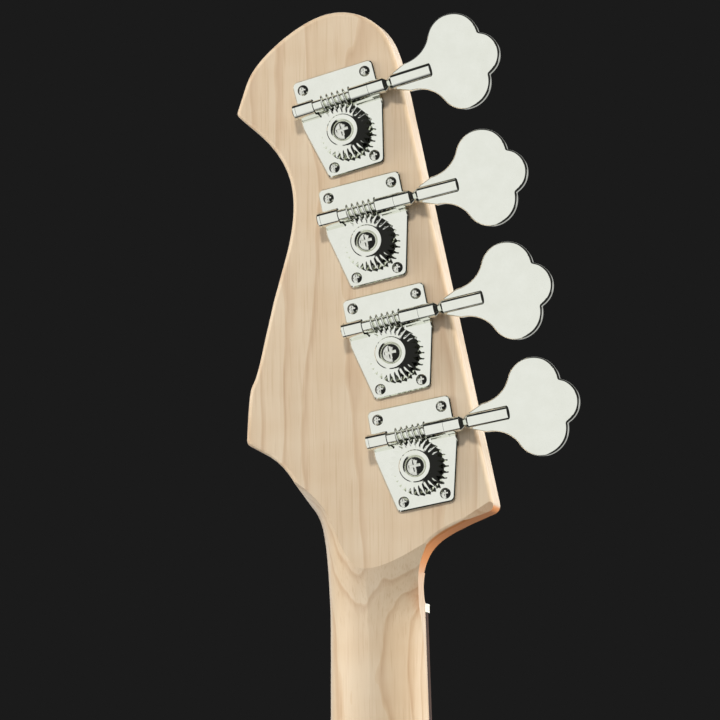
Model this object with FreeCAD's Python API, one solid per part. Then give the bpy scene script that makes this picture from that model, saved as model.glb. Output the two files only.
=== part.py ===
import FreeCAD, Part
import math
import os

V = FreeCAD.Vector
os.makedirs("parts", exist_ok=True)

# A four-string electric bass guitar, in mm. The origin is the seat of the end strap button, on the centre
# line and at half the body's thickness. +Z runs up the neck to the headstock, -Y is the playing side and
# -X the bass side, where the tuner keys are.

# Whole instrument
SCALE_LENGTH = 864.0
BRIDGE_LINE_Z = 80.0
SLIP = 0.05
RUN_FIT = 0.06
SEAT_GAP = 0.15
PASS_HOLE = 0.15
PILOT_SPARE = 0.1
END_PLAY = 0.12

# Body
BODY_THICKNESS = 44.0
BODY_EDGE = 9.0
POCKET_DEPTH = 16.0
ARM_RADIUS = 340.0
ARM_LINE = [(-62, -20), (-122, 262)]
BELLY_RADIUS = 150.0
BELLY_START = (-50.0, 290.0)
BELLY_SLOPE = 0.104
CONTROL_DEPTH = 34.0
CONTROL_ROUND = 21.0
JACK_ROUND = 17.0
PICKUP_ROUT_DEPTH = 19.0
ROUT_GAP = 1.5
LEAD_HOLE = 4.0
LEAD_DEPTH = 14.0
EARTH_HOLE = 1.6
# Outline: the tail's treble side and bass side over the end strap button, and the horns between them over
# the neck's end
TAIL_TREBLE = [(0, 0), (80, 6), (138, 42), (164, 108), (150, 172), (121, 235), (120, 292)]
HORNS = [
    (136, 9), (150, 61), (147, 99), (131, 115), (110, 104), (86, 79), (60, 68), (38, 72), (0, 83),
    (-38, 93), (-64, 103), (-84, 127), (-103, 162), (-126, 182), (-149, 171), (-158, 129), (-150, 69),
    (-133, 4),
]
TAIL_BASS = [(-120, 285), (-124, 235), (-151, 172), (-165, 108), (-139, 42), (-80, 6)]

# Neck, fingerboard and nut
NUT_WIDTH = 38.0
HEEL_WIDTH = 62.0
HEEL_LENGTH = 98.0
HEEL_THICKNESS = 19.5
NECK_DEPTH_NUT = 15.5
NECK_DEPTH_HEEL = 18.0
BOARD_THICKNESS = 5.5
BOARD_RADIUS = 254.0
FRET_COUNT = 20
BOARD_END = 11.0
FRET_WIDTH = 2.5
FRET_HEIGHT = 1.1
TANG_WIDTH = 0.55
TANG_DEPTH = 1.8
DOT_RADIUS = 3.2
DOT_DEPTH = 1.8
SIDE_DOT_RADIUS = 1.0
NUT_LENGTH = 3.4
NUT_STAND = 2.9
RAMP_RADIUS = 13.0
TRUSS_RADIUS = 2.4
TRUSS_DEPTH = 5.6
TRUSS_NUT_RADIUS = 3.9
TRUSS_NUT_LENGTH = 13.0
TRUSS_NUT_ROOM = 0.5
TRUSS_NUT_RISE = 6.0
TRUSS_FOOT_RISE = 14.0
TRUSS_STUD = 1.9
TRUSS_STUD_LENGTH = 7.15
TRUSS_SOCKET = 2.4
TRUSS_SOCKET_DEPTH = 5.0

# Headstock: how far its face lies below the fingerboard's, and its outline beside the nut's middle
HEAD_DROP = 12.0
HEAD_THICKNESS = 14.5
HEAD_EDGE = 1.8
KEY_SHOULDER = [(-19.3, 3), (-20.6, 12), (-25.2, 22.3), (-35.4, 29.2), (-52.6, 36.2)]
KEY_EDGE_TOP = (-18.6, 204.0)
HEAD_TOP = [(-15.3, 217.8), (-9.5, 229.8), (5.4, 237.4), (25.9, 231.5), (43.2, 216.4), (50.6, 198.4)]
SCROLL_SIDE = [(38.6, 187.3), (28.8, 170.9), (28.0, 153.0), (35.9, 122.9), (44.2, 91.2), (47.9, 65.6)]
LOW_SHOULDER = [(36.5, 58.9), (25.2, 42.6), (20.6, 26.0), (19.2, 10.0)]
TIP_ROUND = 2.0
SCROLL_ROUND = 2.6
SHOULDER_ROUND = 3.4
# Swelling of the neck's back into the headstock, over heights from the nut's middle: where the depth and
# the two half widths start to grow, how fast they grow, and how softly the growth sets in
BLEND_SPAN = (-39.0, 52.0)
BLEND_STEPS = 24
DEPTH_GROWTH = (-2.0, 0.32, 10.0)
TREBLE_GROWTH = (40.0, 1.6, 8.0)
BASS_GROWTH = (2.0, 1.5, 8.0)

# Tuners: post places beside the nut's middle and the slope of each key shaft, from the bass string up
POSTS = [(-23.07, 53.2, 9.5), (-13.97, 98.2, 10.65), (-4.87, 143.1, 11.13), (4.23, 188.0, 13.79)]
PLATE_THICK = 1.4
PLATE_TOP = 26.0
PLATE_BOTTOM = -15.6
PLATE_HALF_TOP = 17.0
PLATE_HALF_BOTTOM = 11.6
PLATE_WAIST = 7.0
PLATE_ROUND = 2.2
PLATE_BEVEL = 0.45
PLATE_SHANK = 1.2
PLATE_SCREW = 9.5
PLATE_HEAD = (2.2, 1.0)
PLATE_HOLES = [(-13.1, 21.9), (13.1, 21.9), (-8.5, -12.1), (8.5, -12.1)]
WORM_OFFSET = 13.2
WORM_HEIGHT = 4.9
EAR_RADIUS = 3.2
LEFT_EAR = (-16.7, -9.6)
RIGHT_EAR = (6.2, 13.7)
SHAFT_RADIUS = 1.75
COLLAR_END = 20.2
COLLAR_CONE = 1.5
NECK_END = 23.8
KEY_ROD_RADIUS = 3.2
KEY_ROD_END = 40.3
GEAR_TEETH = 28
GEAR_RADIUS = 10.3
GEAR_ADDENDUM = 0.55
GEAR_DEDENDUM = 1.5
GEAR_TOOTH = 0.88
GEAR_FACE = 4.6
GEAR_BOSS = 6.5
GEAR_BOSS_TOP = 8.8
GEAR_RIM_TOP = 5.9
GEAR_CONE_TOP = 7.6
GEAR_DISH = 4.75
GEAR_DISH_DEPTH = 1.2
GEAR_BEVEL = 0.4
GEAR_HEAD = (4.4, 2.0)
GEAR_SHANK = 1.65
GEAR_SCREW = 9.0
WORM_ADDENDUM = 0.85
WORM_THREAD = 0.96
WORM_SPAN = (-6.2, 6.0)
WORM_ROOT = 2.1
WORM_RELIEF = 0.3
FLANK = 0.30
LEAF_THICK = 3.0
LEAF_EDGE = 0.9
LEAF_ROOT = (24.6, 3.4)
LEAF_FLARE = (30.5, 18.6, 12.8)
LEAF_LOBE = (51.8, 9.0, 10.6)
LEAF_TIP = (59.4, 9.2)
LEAF_NOTCH = 0.7
POST_RADIUS = 5.6
POST_HEAD = 6.5
POST_HEIGHT = 18.5
POST_SLOT = 6.0
POST_JOURNAL = 4.2
POST_SQUARE = 4.6
BUSH_RADIUS = 7.0
BUSH_DEPTH = 9.0
BUSH_FLANGE = 9.2
BUSH_LIP = 1.4

# Strings, from the bass side: name, diameter, saddle set-back, half turns on the post
STRINGS = [("e", 2.67, 4.5, 4), ("a", 2.16, 3.2, 5), ("d", 1.65, 2.0, 6), ("g", 1.14, 0.5, 7)]
NUT_SPACING = 9.67
BRIDGE_SPACING = 19.0
NUT_ACTION = 0.6
SADDLE_RISE = 3.4
WIND_GAP = 0.55
SLOT_TURN_GAP = 0.15
BEND_CLEAR = 0.12
NUT_CLEAR = 0.2
TREE_PLACE = (7.9, 62.0)
TREE_RADIUS = 7.6
TREE_STEM = 3.0
TREE_DROP = 6.2
TREE_THICK = 1.5
TREE_HEAD = (3.4, 1.6)
TREE_SHANK = 1.5
TREE_SCREW = 18.0

# Bridge
BRIDGE_HALF = 40.5
BRIDGE_WALL_Z = 38.0
BRIDGE_FRONT_Z = 97.0
BRIDGE_THICK = 2.0
BRIDGE_WALL_TOP = 15.0
BRIDGE_CORNER = 4.0
BRIDGE_WALL_CORNER = 2.5
BRIDGE_SCREW_X = (-33.0, -16.5, 0.0, 16.5, 33.0)
BRIDGE_SCREW_RISE = 7.0
BRIDGE_HEAD = (3.4, 1.7)
BRIDGE_SHANK = 1.9
BRIDGE_SCREW = 24.0
SADDLE_RADIUS = 4.0
SADDLE_LENGTH = 17.6
SADDLE_GROOVE = 0.8
SADDLE_BEVEL = 0.5
GRUB_RADIUS = 1.0
GRUB_PLACE = 7.3
INTONATION_SIDE = 4.6
INTONATION_RADIUS = 1.4
INTONATION_HEAD = (2.5, 1.8)
INTONATION_END = 92.0
SPRING_RADIUS = 2.15
SPRING_WIRE = 0.35
SPRING_HALF_TURNS = 18
BALL_RADIUS = 2.8
BALL_HALF = 2.0
BALL_HEIGHT = 5.0

# Pickguard, pickups and controls on it
GUARD_THICK = 2.4
GUARD_BEVEL = 1.0
GUARD_HEAD = (2.7, 1.3)
GUARD_SHANK = 1.2
GUARD_SCREW = 11.0
GUARD_TREBLE = [
    (-50, 205), (-12, 192), (34, 186), (56, 163), (68, 126), (86, 86), (112, 62), (137, 68), (143, 98),
    (132, 138), (112, 184), (98, 232),
]
GUARD_HORNS = [
    (106, -1), (120, 44), (124, 74), (110, 87), (92, 69), (70, 54), (40, 55), (0, 65), (-40, 75), (-62, 87),
    (-84, 105), (-106, 121), (-126, 111), (-130, 77), (-114, 31), (-90, -11),
]
GUARD_BASS = [(-64, 240)]
GUARD_LOW_SCREWS = [
    (-57, 243), (-44, 208), (25, 193), (62, 165), (80, 112), (104, 72), (136, 82), (124, 142), (100, 200),
    (92, 240),
]
GUARD_HIGH_SCREWS = [(-112, 111), (-122, 73), (-90, 1), (113, 39), (110, 77), (58, 56)]
PICKUP_LENGTH = 57.0
PICKUP_WIDTH = 29.0
PICKUP_WALL = 1.5
PICKUP_STAND = 8.4
PICKUP_SINK = 9.0
PICKUP_LINES = [(0, 1, 248.0), (2, 3, 217.0)]
PICKUP_EAR = 3.8
PICKUP_EAR_THICK = 2.0
PICKUP_CORNER = 4.0
PICKUP_EDGE = 1.0
PICKUP_GAP = 0.4
PICKUP_HEAD = (2.7, 1.3)
PICKUP_SHANK = 1.3
PICKUP_SCREW = 16.0
COIL_INSET = (3.5, 5.5)
COIL_CORNER = 6.0
EAR_OFFSET = 2.9
EAR_LIFT = 0.1
POLE_RADIUS = 2.4
POLE_SIDE = 4.6
POLE_STAND = 0.6
POLE_RISE = 1.0
VOLUME_PLACE = (82.0, 158.0)
TONE_PLACE = (104.0, 118.0)
JACK_PLACE = (121.0, 84.0)
POT_RADIUS = 12.0
POT_HEIGHT = 9.0
POT_BUSH = 4.7
POT_BUSH_STAND = 4.6
LUG_THICK = 0.8
LUG_PLACES = (-5.0, 0.0, 5.0)
POT_NUT = 7.0
POT_NUT_THICK = 2.2
POT_SHAFT = 3.0
POT_SHAFT_STAND = 12.0
KNOB_RADIUS = 9.5
KNOB_HEIGHT = 16.0
KNOB_RIDGES = 36
KNOB_GAP = 2.8
KNOB_ROOM = 0.8
RIDGE_RADIUS = 0.45
RIDGE_OUT = 0.15
JACK_BORE = 3.25
JACK_BUSH = 4.7
JACK_DEPTH = 9.0
JACK_FLANGE = 8.0
JACK_STAND = 0.8
BLADE_THICK = 1.2
BLADE_HALF = 2.5
BLADE_LENGTH = 19.0
BLADE_OUT = 7.4
BLADE_REACH = 3.7
CAP_RADIUS = 3.0
CAP_HALF = 5.5
LEAD_RADIUS = 0.7
EARTH_WIRE = 0.8

# Neck plate, strap buttons
PLATE_SIZE = (51.0, 60.0)
NECK_PLATE_THICK = 1.8
NECK_PLATE_RISE = 34.0
NECK_PLATE_CORNER = 5.0
NECK_PLATE_BEVEL = 0.4
NECK_SCREW_X = 19.0
NECK_SCREW_Z = 24.0
NECK_SCREW_RADIUS = 2.3
NECK_SCREW_HEAD = (4.6, 2.2)
NECK_SCREW_BITE = 14.0
BUTTON_TOP = 7.4
BUTTON_WAIST = 3.6
BUTTON_BASE = 5.4
BUTTON_HEIGHT = 12.5
BUTTON_HEAD = (3.9, 1.8)
BUTTON_SHANK = 2.1
BUTTON_SCREW = 34.0
HORN_BUTTON = (-127.0, 180.2)
HORN_LEAN = (-0.18, 0.984)

# Levels and places that follow from the sizes above
BODY_FRONT = -BODY_THICKNESS / 2
BODY_BACK = BODY_THICKNESS / 2
HEEL_SEAT = BODY_FRONT + POCKET_DEPTH
GLUE = HEEL_SEAT - HEEL_THICKNESS
BOARD_TOP = GLUE - BOARD_THICKNESS
HEAD_FRONT = BOARD_TOP + HEAD_DROP
HEAD_BACK = HEAD_FRONT + HEAD_THICKNESS
NUT_Z = BRIDGE_LINE_Z + SCALE_LENGTH
NECK_LENGTH = SCALE_LENGTH * (1 - 2 ** (-FRET_COUNT / 12)) + BOARD_END
NUT_MID = NUT_Z + NUT_LENGTH / 2
HEEL_END = NUT_Z - NECK_LENGTH
HEEL_TOP = HEEL_END + HEEL_LENGTH
NECK_PLATE_Z = HEEL_END + NECK_PLATE_RISE
BODY_OUTLINE = TAIL_TREBLE + [(x, HEEL_END + z) for x, z in HORNS] + TAIL_BASS
GUARD_OUTLINE = GUARD_TREBLE + [(x, HEEL_END + z) for x, z in GUARD_HORNS] + GUARD_BASS
GUARD_SCREWS = GUARD_LOW_SCREWS + [(x, HEEL_END + z) for x, z in GUARD_HIGH_SCREWS]
GUARD_TOP = BODY_FRONT - GUARD_THICK
BRIDGE_TOP = BODY_FRONT - BRIDGE_THICK
GEAR_PITCH = 2 * math.pi * GEAR_RADIUS / GEAR_TEETH
WORM_RADIUS = WORM_OFFSET - GEAR_RADIUS
WALL_INNER = BRIDGE_WALL_Z + BRIDGE_THICK
TRUSS_Y = GLUE + TRUSS_DEPTH
TRUSS_LOW = HEEL_END + TRUSS_FOOT_RISE
TRUSS_NUT_Z = NUT_Z + TRUSS_NUT_RISE
NECK_SCREW_LENGTH = BODY_BACK + NECK_PLATE_THICK - HEEL_SEAT + NECK_SCREW_BITE
LEAD_LEVEL = BODY_FRONT + LEAD_DEPTH
COVER_TOP = GUARD_TOP - PICKUP_STAND
COVER_FOOT = BODY_FRONT + PICKUP_SINK
EAR_FOOT = GUARD_TOP - EAR_LIFT
POT_TOP = BODY_FRONT + SLIP
POT_FOOT = POT_TOP + POT_HEIGHT
LUG_LEVEL = POT_TOP + 2 + LUG_THICK
RISE = V(0, -1, 0)
SINK = V(0, 1, 0)


def half_width(z):
    return (NUT_WIDTH + (HEEL_WIDTH - NUT_WIDTH) * (NUT_Z - z) / NECK_LENGTH) / 2


def tapered(low, high):
    """The neck's outline between two heights."""
    foot = half_width(low)
    top = half_width(high)
    return [(-foot, low), (foot, low), (top, high), (-top, high)]


def crown(x):
    return BOARD_RADIUS - math.sqrt(BOARD_RADIUS ** 2 - x ** 2)


def block(x0, x1, y0, y1, z0, z1):
    return Part.makeBox(x1 - x0, y1 - y0, z1 - z0, V(x0, y0, z0))


def rod(radius, start, end):
    return Part.makeCylinder(radius, (end - start).Length, start, end - start)


def fuse(shapes):
    return shapes[0].fuse(shapes[1:]).removeSplitter()


def prism(edges, y0, y1):
    face = Part.Face(Part.Wire(edges))
    face.translate(V(0, y0, 0))
    return face.extrude(V(0, y1 - y0, 0))


def flat(points):
    return [V(x, 0, z) for x, z in points]


def polygon(points):
    return Part.makePolygon(flat(points) + flat(points[:1])).Edges


def spline(points, closed=False):
    curve = Part.BSplineCurve()
    curve.interpolate(Points=points, PeriodicFlag=closed)
    return curve.toShape()


def line(a, b):
    return Part.LineSegment(a, b).toShape()


def slab(points, y0, y1):
    return prism([spline(flat(points), True)], y0, y1)


def turned(profile, at, axis):
    """A solid of revolution: (radius, height) points, or with two more values the middle of an arc to it."""
    edges = []
    last = V(profile[-1][0], 0, profile[-1][1])
    for step in profile:
        here = V(step[0], 0, step[1])
        if len(step) == 4:
            edges.append(Part.Arc(last, V(step[2], 0, step[3]), here).toShape())
        elif (here - last).Length > 1e-6:
            edges.append(line(last, here))
        last = here
    solid = Part.Face(Part.Wire(edges)).revolve(V(0, 0, 0), V(0, 0, 1), 360)
    return placed(solid, at, axis)


def placed(shape, at, axis):
    moved = shape.copy()
    moved.Placement = FreeCAD.Placement(at, FreeCAD.Rotation(V(0, 0, 1), axis))
    return moved


def hexagon(radius, height):
    corners = [V(radius * math.cos(math.pi * k / 3), radius * math.sin(math.pi * k / 3), 0) for k in range(7)]
    return Part.Face(Part.makePolygon(corners)).extrude(V(0, 0, height))


def screw(at, out, head, rise, shank, length, recess=0.5):
    """A dome-headed screw with a cross recess: its head stands on the point and its shank runs inwards."""
    mid = head * 0.72
    ball = (head ** 2 + rise ** 2) / (2 * rise)
    top = rise - ball + math.sqrt(ball ** 2 - mid ** 2)
    body = turned([(0, -length), (shank, shank - length), (shank, 0), (head, 0), (0, rise, mid, top)],
                  V(0, 0, 0), V(0, 0, 1))
    bar = head * 0.55
    wide = head * 0.13
    deep = rise - recess * rise * 1.2
    cross = block(-bar, bar, -wide, wide, deep, rise + 1).fuse(block(-wide, wide, -bar, bar, deep, rise + 1))
    return placed(body.cut(cross), at, out)


def arc_middle(start, way, end):
    """The middle of the arc that leaves a point in a direction and ends at another, or None if straight."""
    chord = end - start
    along = V(chord).normalize()
    side = way - along * way.dot(along)
    if side.Length < 1e-7:
        return None
    turn = math.atan2(side.Length, way.dot(along))
    return (start + end) * 0.5 + V(side).normalize() * (chord.Length / 2 * math.tan(turn / 2))


def curve_or_line(start, middle, end):
    if middle is None:
        return line(start, end)
    return Part.Arc(start, middle, end).toShape()


def biarc(p0, t0, p1, t1):
    """Two arcs that join two points and meet both directions and each other smoothly."""
    v = p1 - p0
    a = 2 * (1 - t0.dot(t1))
    b = v.dot(t0 + t1)
    reach = v.dot(v) / (2 * b) if a < 1e-12 else (-b + math.sqrt(b * b + a * v.dot(v))) / a
    joint = (p0 + p1 + (t0 - t1) * reach) * 0.5
    first = curve_or_line(p0, arc_middle(p0, t0, joint), joint)
    second = curve_or_line(joint, arc_middle(p1, t1 * -1, joint), p1)
    return [first, second]


def path(stops):
    """Edges through (point, direction) stops: a line where the next stop is straight ahead, else a biarc."""
    edges = []
    for (p0, t0), (p1, t1) in zip(stops, stops[1:]):
        ahead = V(p1 - p0).normalize()
        if ahead.dot(t0) > 1 - 1e-10 and ahead.dot(t1) > 1 - 1e-10:
            edges.append(line(p0, p1))
        else:
            edges += biarc(p0, t0, p1, t1)
    return edges


def tube(edges, radius):
    start = edges[0].valueAt(edges[0].FirstParameter)
    way = edges[0].tangentAt(edges[0].FirstParameter)
    ring = Part.Wire(Part.makeCircle(radius, start, way))
    return Part.Wire(edges).makePipeShell([ring], True, False)


def bent(points, reach):
    """Stops along straight stretches whose corners are rounded off over the same reach on both sides."""
    stops = [(points[0], V(points[1] - points[0]).normalize())]
    for before, corner, after in zip(points, points[1:], points[2:]):
        into = V(corner - before).normalize()
        away = V(after - corner).normalize()
        stops.append((corner - into * reach, into))
        stops.append((corner + away * reach, away))
    stops.append((points[-1], V(points[-1] - points[-2]).normalize()))
    return stops


def least_gap(edges, radius, apart):
    """The least clear distance of a wound tube from itself, on points taken along its path."""
    points = []
    run = 0.0
    for edge in edges:
        count = max(3, int(edge.Length / 0.4))
        places = edge.discretize(Number=count)
        for place in places[1:]:
            run += edge.Length / (count - 1)
            points.append((run, place))
    least = 1e9
    for i, (here, p) in enumerate(points):
        for there, q in points[i + 1:]:
            if there - here > apart:
                least = min(least, (p - q).Length)
    return least - 2 * radius


def save(name, shapes):
    solids = [solid for shape in shapes for solid in shape.Solids]
    whole = solids[0] if len(solids) == 1 else Part.makeCompound(solids)
    whole.exportStep("parts/" + name + ".step")


# Neck: one piece of wood with the headstock, a rounded back and a square heel

def over_nut(points):
    return [V(x, 0, NUT_MID + z) for x, z in points]


def smooth(points, start, end):
    curve = Part.BSplineCurve()
    curve.interpolate(Points=points, InitialTangent=V(start), FinalTangent=V(end))
    return curve.toShape()


def corner_edges(shape, place):
    spot = over_nut([place])[0]
    return [e for e in shape.Edges
            if len(e.Vertexes) == 2 and all(abs(v.X - spot.x) + abs(v.Z - spot.z) < 0.05 for v in e.Vertexes)]


def ramp():
    """What is left in front of the headstock: a ramp behind the nut that runs out level."""
    over = HEAD_FRONT - RAMP_RADIUS
    turn = math.acos((GLUE - over) / RAMP_RADIUS)
    level = NUT_Z + NUT_LENGTH + RAMP_RADIUS * math.sin(turn)
    bends = [V(-90, over + RAMP_RADIUS * math.cos(t), level - RAMP_RADIUS * math.sin(t))
             for t in (turn, turn / 2, 0)]
    low = NUT_MID + BLEND_SPAN[0]
    corners = [bends[2], V(-90, HEAD_BACK, level), V(-90, HEAD_BACK, low), V(-90, GLUE, low), bends[0]]
    edges = [Part.Arc(*bends).toShape()] + [line(one, two) for one, two in zip(corners, corners[1:])]
    return Part.Face(Part.Wire(edges)).extrude(V(180, 0, 0))


def headstock():
    low = half_width(NUT_MID + BLEND_SPAN[0])
    key_side = over_nut([(-NUT_WIDTH / 2, 0)] + KEY_SHOULDER)
    lean = over_nut([KEY_EDGE_TOP])[0] - key_side[-1]
    top = over_nut([KEY_EDGE_TOP] + HEAD_TOP)
    scroll = over_nut(HEAD_TOP[-1:] + SCROLL_SIDE)
    treble = over_nut(SCROLL_SIDE[-1:] + LOW_SHOULDER + [(NUT_WIDTH / 2, 0)])
    foot = over_nut([(low, BLEND_SPAN[0]), (-low, BLEND_SPAN[0])])
    edges = [
        smooth(key_side, (0, 0, 1), (-0.93, 0, 0.36)),
        line(key_side[-1], top[0]),
        smooth(top, lean, (0.35, 0, -1)),
        smooth(scroll, (-0.68, 0, -0.72), (0.05, 0, -1)),
        smooth(treble, (-0.8, 0, -0.5), (0, 0, -1)),
        line(treble[-1], foot[0]),
        line(foot[0], foot[1]),
        line(foot[1], key_side[0]),
    ]
    board = prism(edges, HEAD_FRONT, HEAD_BACK)
    board = board.makeFillet(TIP_ROUND, corner_edges(board, HEAD_TOP[-1]))
    board = board.makeFillet(SCROLL_ROUND, corner_edges(board, SCROLL_SIDE[-1]))
    board = board.makeFillet(SHOULDER_ROUND, corner_edges(board, KEY_SHOULDER[-1]))
    rim = [e for e in board.Edges if e.BoundBox.YLength < 0.01 and e.BoundBox.ZMax > NUT_MID + 1]
    board = board.makeFillet(HEAD_EDGE, rim)
    return board.fuse(prism(edges, GLUE, HEAD_FRONT + 3 * HEAD_EDGE).common(ramp()))


def back_section(z, depth, treble, bass):
    """The neck's round back as two quarter ellipses below the glue plane, closed across the glue plane."""
    edges = []
    for wide, first in ((treble, True), (bass, False)):
        side = wide if first else -wide
        ends = [V(side, GLUE, z), V(side, GLUE + depth, z), V(0, GLUE + depth, z)]
        curve = Part.BezierCurve()
        curve.setPoles(ends if first else ends[::-1])
        curve.setWeight(2, math.sqrt(0.5))
        edges.append(curve.toShape())
    edges.append(line(V(-bass, GLUE, z), V(treble, GLUE, z)))
    return Part.Wire(edges)


def growth(height, rule):
    start, slope, onset = rule
    here = height - start
    first = BLEND_SPAN[0] - start
    return slope / 2 * (here - first + math.hypot(here, onset) - math.hypot(first, onset))


def blend_section(step):
    height = BLEND_SPAN[0] + (BLEND_SPAN[1] - BLEND_SPAN[0]) * step / BLEND_STEPS
    wide = half_width(NUT_MID + min(height, 0))
    return back_section(NUT_MID + height, NECK_DEPTH_NUT + growth(height, DEPTH_GROWTH),
                        wide + growth(height, TREBLE_GROWTH), wide + growth(height, BASS_GROWTH))


def neck_blank():
    sections = [blend_section(step) for step in range(BLEND_STEPS + 1)]
    blend = Part.makeLoft(sections, True, False, False, 3)
    foot = NUT_MID + BLEND_SPAN[0]
    spare = block(-150, 150, GLUE, HEAD_BACK + 5, foot, NUT_MID + BLEND_SPAN[1]).cut(blend)
    head = headstock().cut(spare)
    root = HEEL_TOP - 6
    wide = half_width(root)
    shaft = Part.makeLoft([back_section(root, NECK_DEPTH_HEEL, wide, wide), sections[0]], True, True)
    return fuse([shaft, prism(polygon(tapered(HEEL_END, HEEL_TOP)), GLUE, HEEL_SEAT), head])


def tuner_frame(post):
    x, up, slope = post
    turn = math.radians(slope)
    along = V(-math.cos(turn), 0, math.sin(turn))
    tip = V(math.sin(turn), 0, math.cos(turn))
    spot = over_nut([(x, up)])[0] + V(0, HEAD_BACK, 0)
    return FreeCAD.Placement(spot, FreeCAD.Rotation(along, tip, SINK, "XYZ"))


def tuned(shape, post):
    moved = shape.copy()
    moved.Placement = tuner_frame(post).multiply(moved.Placement)
    return moved


TREE = over_nut([TREE_PLACE])[0] + V(0, HEAD_FRONT, 0)
NECK_SCREWS = [(x, z) for x in (-NECK_SCREW_X, NECK_SCREW_X)
               for z in (NECK_PLATE_Z - NECK_SCREW_Z, NECK_PLATE_Z + NECK_SCREW_Z)]

neck = neck_blank()
holes = []
for post in POSTS:
    holes.append(tuned(rod(POST_JOURNAL + 1.4, V(0, 0, -HEAD_THICKNESS - 5), V(0, 0, 5)), post))
    holes.append(tuned(rod(BUSH_RADIUS + SLIP, V(0, 0, -HEAD_THICKNESS - 5),
                           V(0, 0, BUSH_DEPTH + SLIP - HEAD_THICKNESS)), post))
    for a, b in PLATE_HOLES:
        holes.append(tuned(rod(PLATE_SHANK + SLIP, V(a, b, -PLATE_SCREW), V(a, b, 3)), post))
bite = HEEL_SEAT - NECK_SCREW_BITE - 1
for x, z in NECK_SCREWS:
    holes.append(rod(NECK_SCREW_RADIUS + SLIP, V(x, HEEL_SEAT + 2, z), V(x, bite, z)))
holes.append(rod(TREE_SHANK + SLIP, TREE + RISE, TREE + SINK * 11))
holes.append(block(-TRUSS_RADIUS - SLIP, TRUSS_RADIUS + SLIP, GLUE - 1, TRUSS_Y + TRUSS_RADIUS + SLIP,
                   TRUSS_LOW - SLIP, NUT_Z))
holes.append(rod(TRUSS_RADIUS + SLIP, V(0, TRUSS_Y, NUT_Z - 1), V(0, TRUSS_Y, TRUSS_NUT_Z + 1)))
holes.append(rod(TRUSS_NUT_RADIUS + TRUSS_NUT_ROOM, V(0, TRUSS_Y, TRUSS_NUT_Z - 0.3),
                 V(0, TRUSS_Y, TRUSS_NUT_Z + 30)))
save("neck", [neck.cut(holes)])

# Truss rod in its channel, and the socket nut on its upper end
stud_end = TRUSS_NUT_Z + TRUSS_STUD_LENGTH
truss = rod(TRUSS_RADIUS, V(0, TRUSS_Y, TRUSS_LOW), V(0, TRUSS_Y, TRUSS_NUT_Z - 0.4))
stud = rod(TRUSS_STUD, V(0, TRUSS_Y, TRUSS_NUT_Z - 1), V(0, TRUSS_Y, stud_end))
save("truss_rod", [fuse([truss, stud])])
nut_top = TRUSS_NUT_Z + TRUSS_NUT_LENGTH
truss_nut = turned([(0, 0), (TRUSS_NUT_RADIUS, 0), (TRUSS_NUT_RADIUS, TRUSS_NUT_LENGTH - 1.5),
                    (TRUSS_NUT_RADIUS - 1, TRUSS_NUT_LENGTH), (0, TRUSS_NUT_LENGTH)],
                   V(0, TRUSS_Y, TRUSS_NUT_Z), V(0, 0, 1))
eye = rod(TRUSS_STUD + RUN_FIT, V(0, TRUSS_Y, TRUSS_NUT_Z - 1), V(0, TRUSS_Y, stud_end + 0.3))
socket = hexagon(TRUSS_SOCKET, TRUSS_SOCKET_DEPTH + 1)
socket = placed(socket, V(0, TRUSS_Y, nut_top - TRUSS_SOCKET_DEPTH), V(0, 0, 1))
save("truss_rod_nut", [truss_nut.cut([eye, socket])])

# Fingerboard with a crowned face, frets pressed into slots, and inlaid dots
CROWN_AXIS = BOARD_TOP + BOARD_RADIUS


def crowned(shape, stand):
    keep = rod(BOARD_RADIUS + stand, V(0, CROWN_AXIS, HEEL_END - 10), V(0, CROWN_AXIS, NUT_Z + 20))
    return shape.common(keep)


def swung(points, arcs, half):
    """A profile in the plane of the strings' centre, swung to both sides about the axis of the crown."""
    edges = [line(a, b) for a, b in zip(points, points[1:])] + arcs
    face = Part.Face(Part.Wire(Part.__sortEdges__(edges)))
    spread = math.degrees(math.asin(half / BOARD_RADIUS))
    face.rotate(V(0, CROWN_AXIS, 0), V(0, 0, 1), -spread)
    return face.revolve(V(0, CROWN_AXIS, 0), V(0, 0, 1), 2 * spread)


def fret(z):
    edge = FRET_WIDTH / 2
    tang = TANG_WIDTH / 2
    foot = BOARD_TOP + TANG_DEPTH
    points = [V(0, BOARD_TOP, z + edge), V(0, BOARD_TOP, z + tang), V(0, foot, z + tang),
              V(0, foot, z - tang), V(0, BOARD_TOP, z - tang), V(0, BOARD_TOP, z - edge)]
    top = Part.Arc(points[-1], V(0, BOARD_TOP - FRET_HEIGHT, z), points[0]).toShape()
    return swung(points, [top], half_width(z) - 0.3)


def fret_slot(z):
    tang = TANG_WIDTH / 2 + SLIP
    foot = BOARD_TOP + TANG_DEPTH + SLIP
    points = [V(0, BOARD_TOP - 2, z + tang), V(0, foot, z + tang), V(0, foot, z - tang),
              V(0, BOARD_TOP - 2, z - tang), V(0, BOARD_TOP - 2, z + tang)]
    return swung(points, [], half_width(z) + 1)


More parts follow.
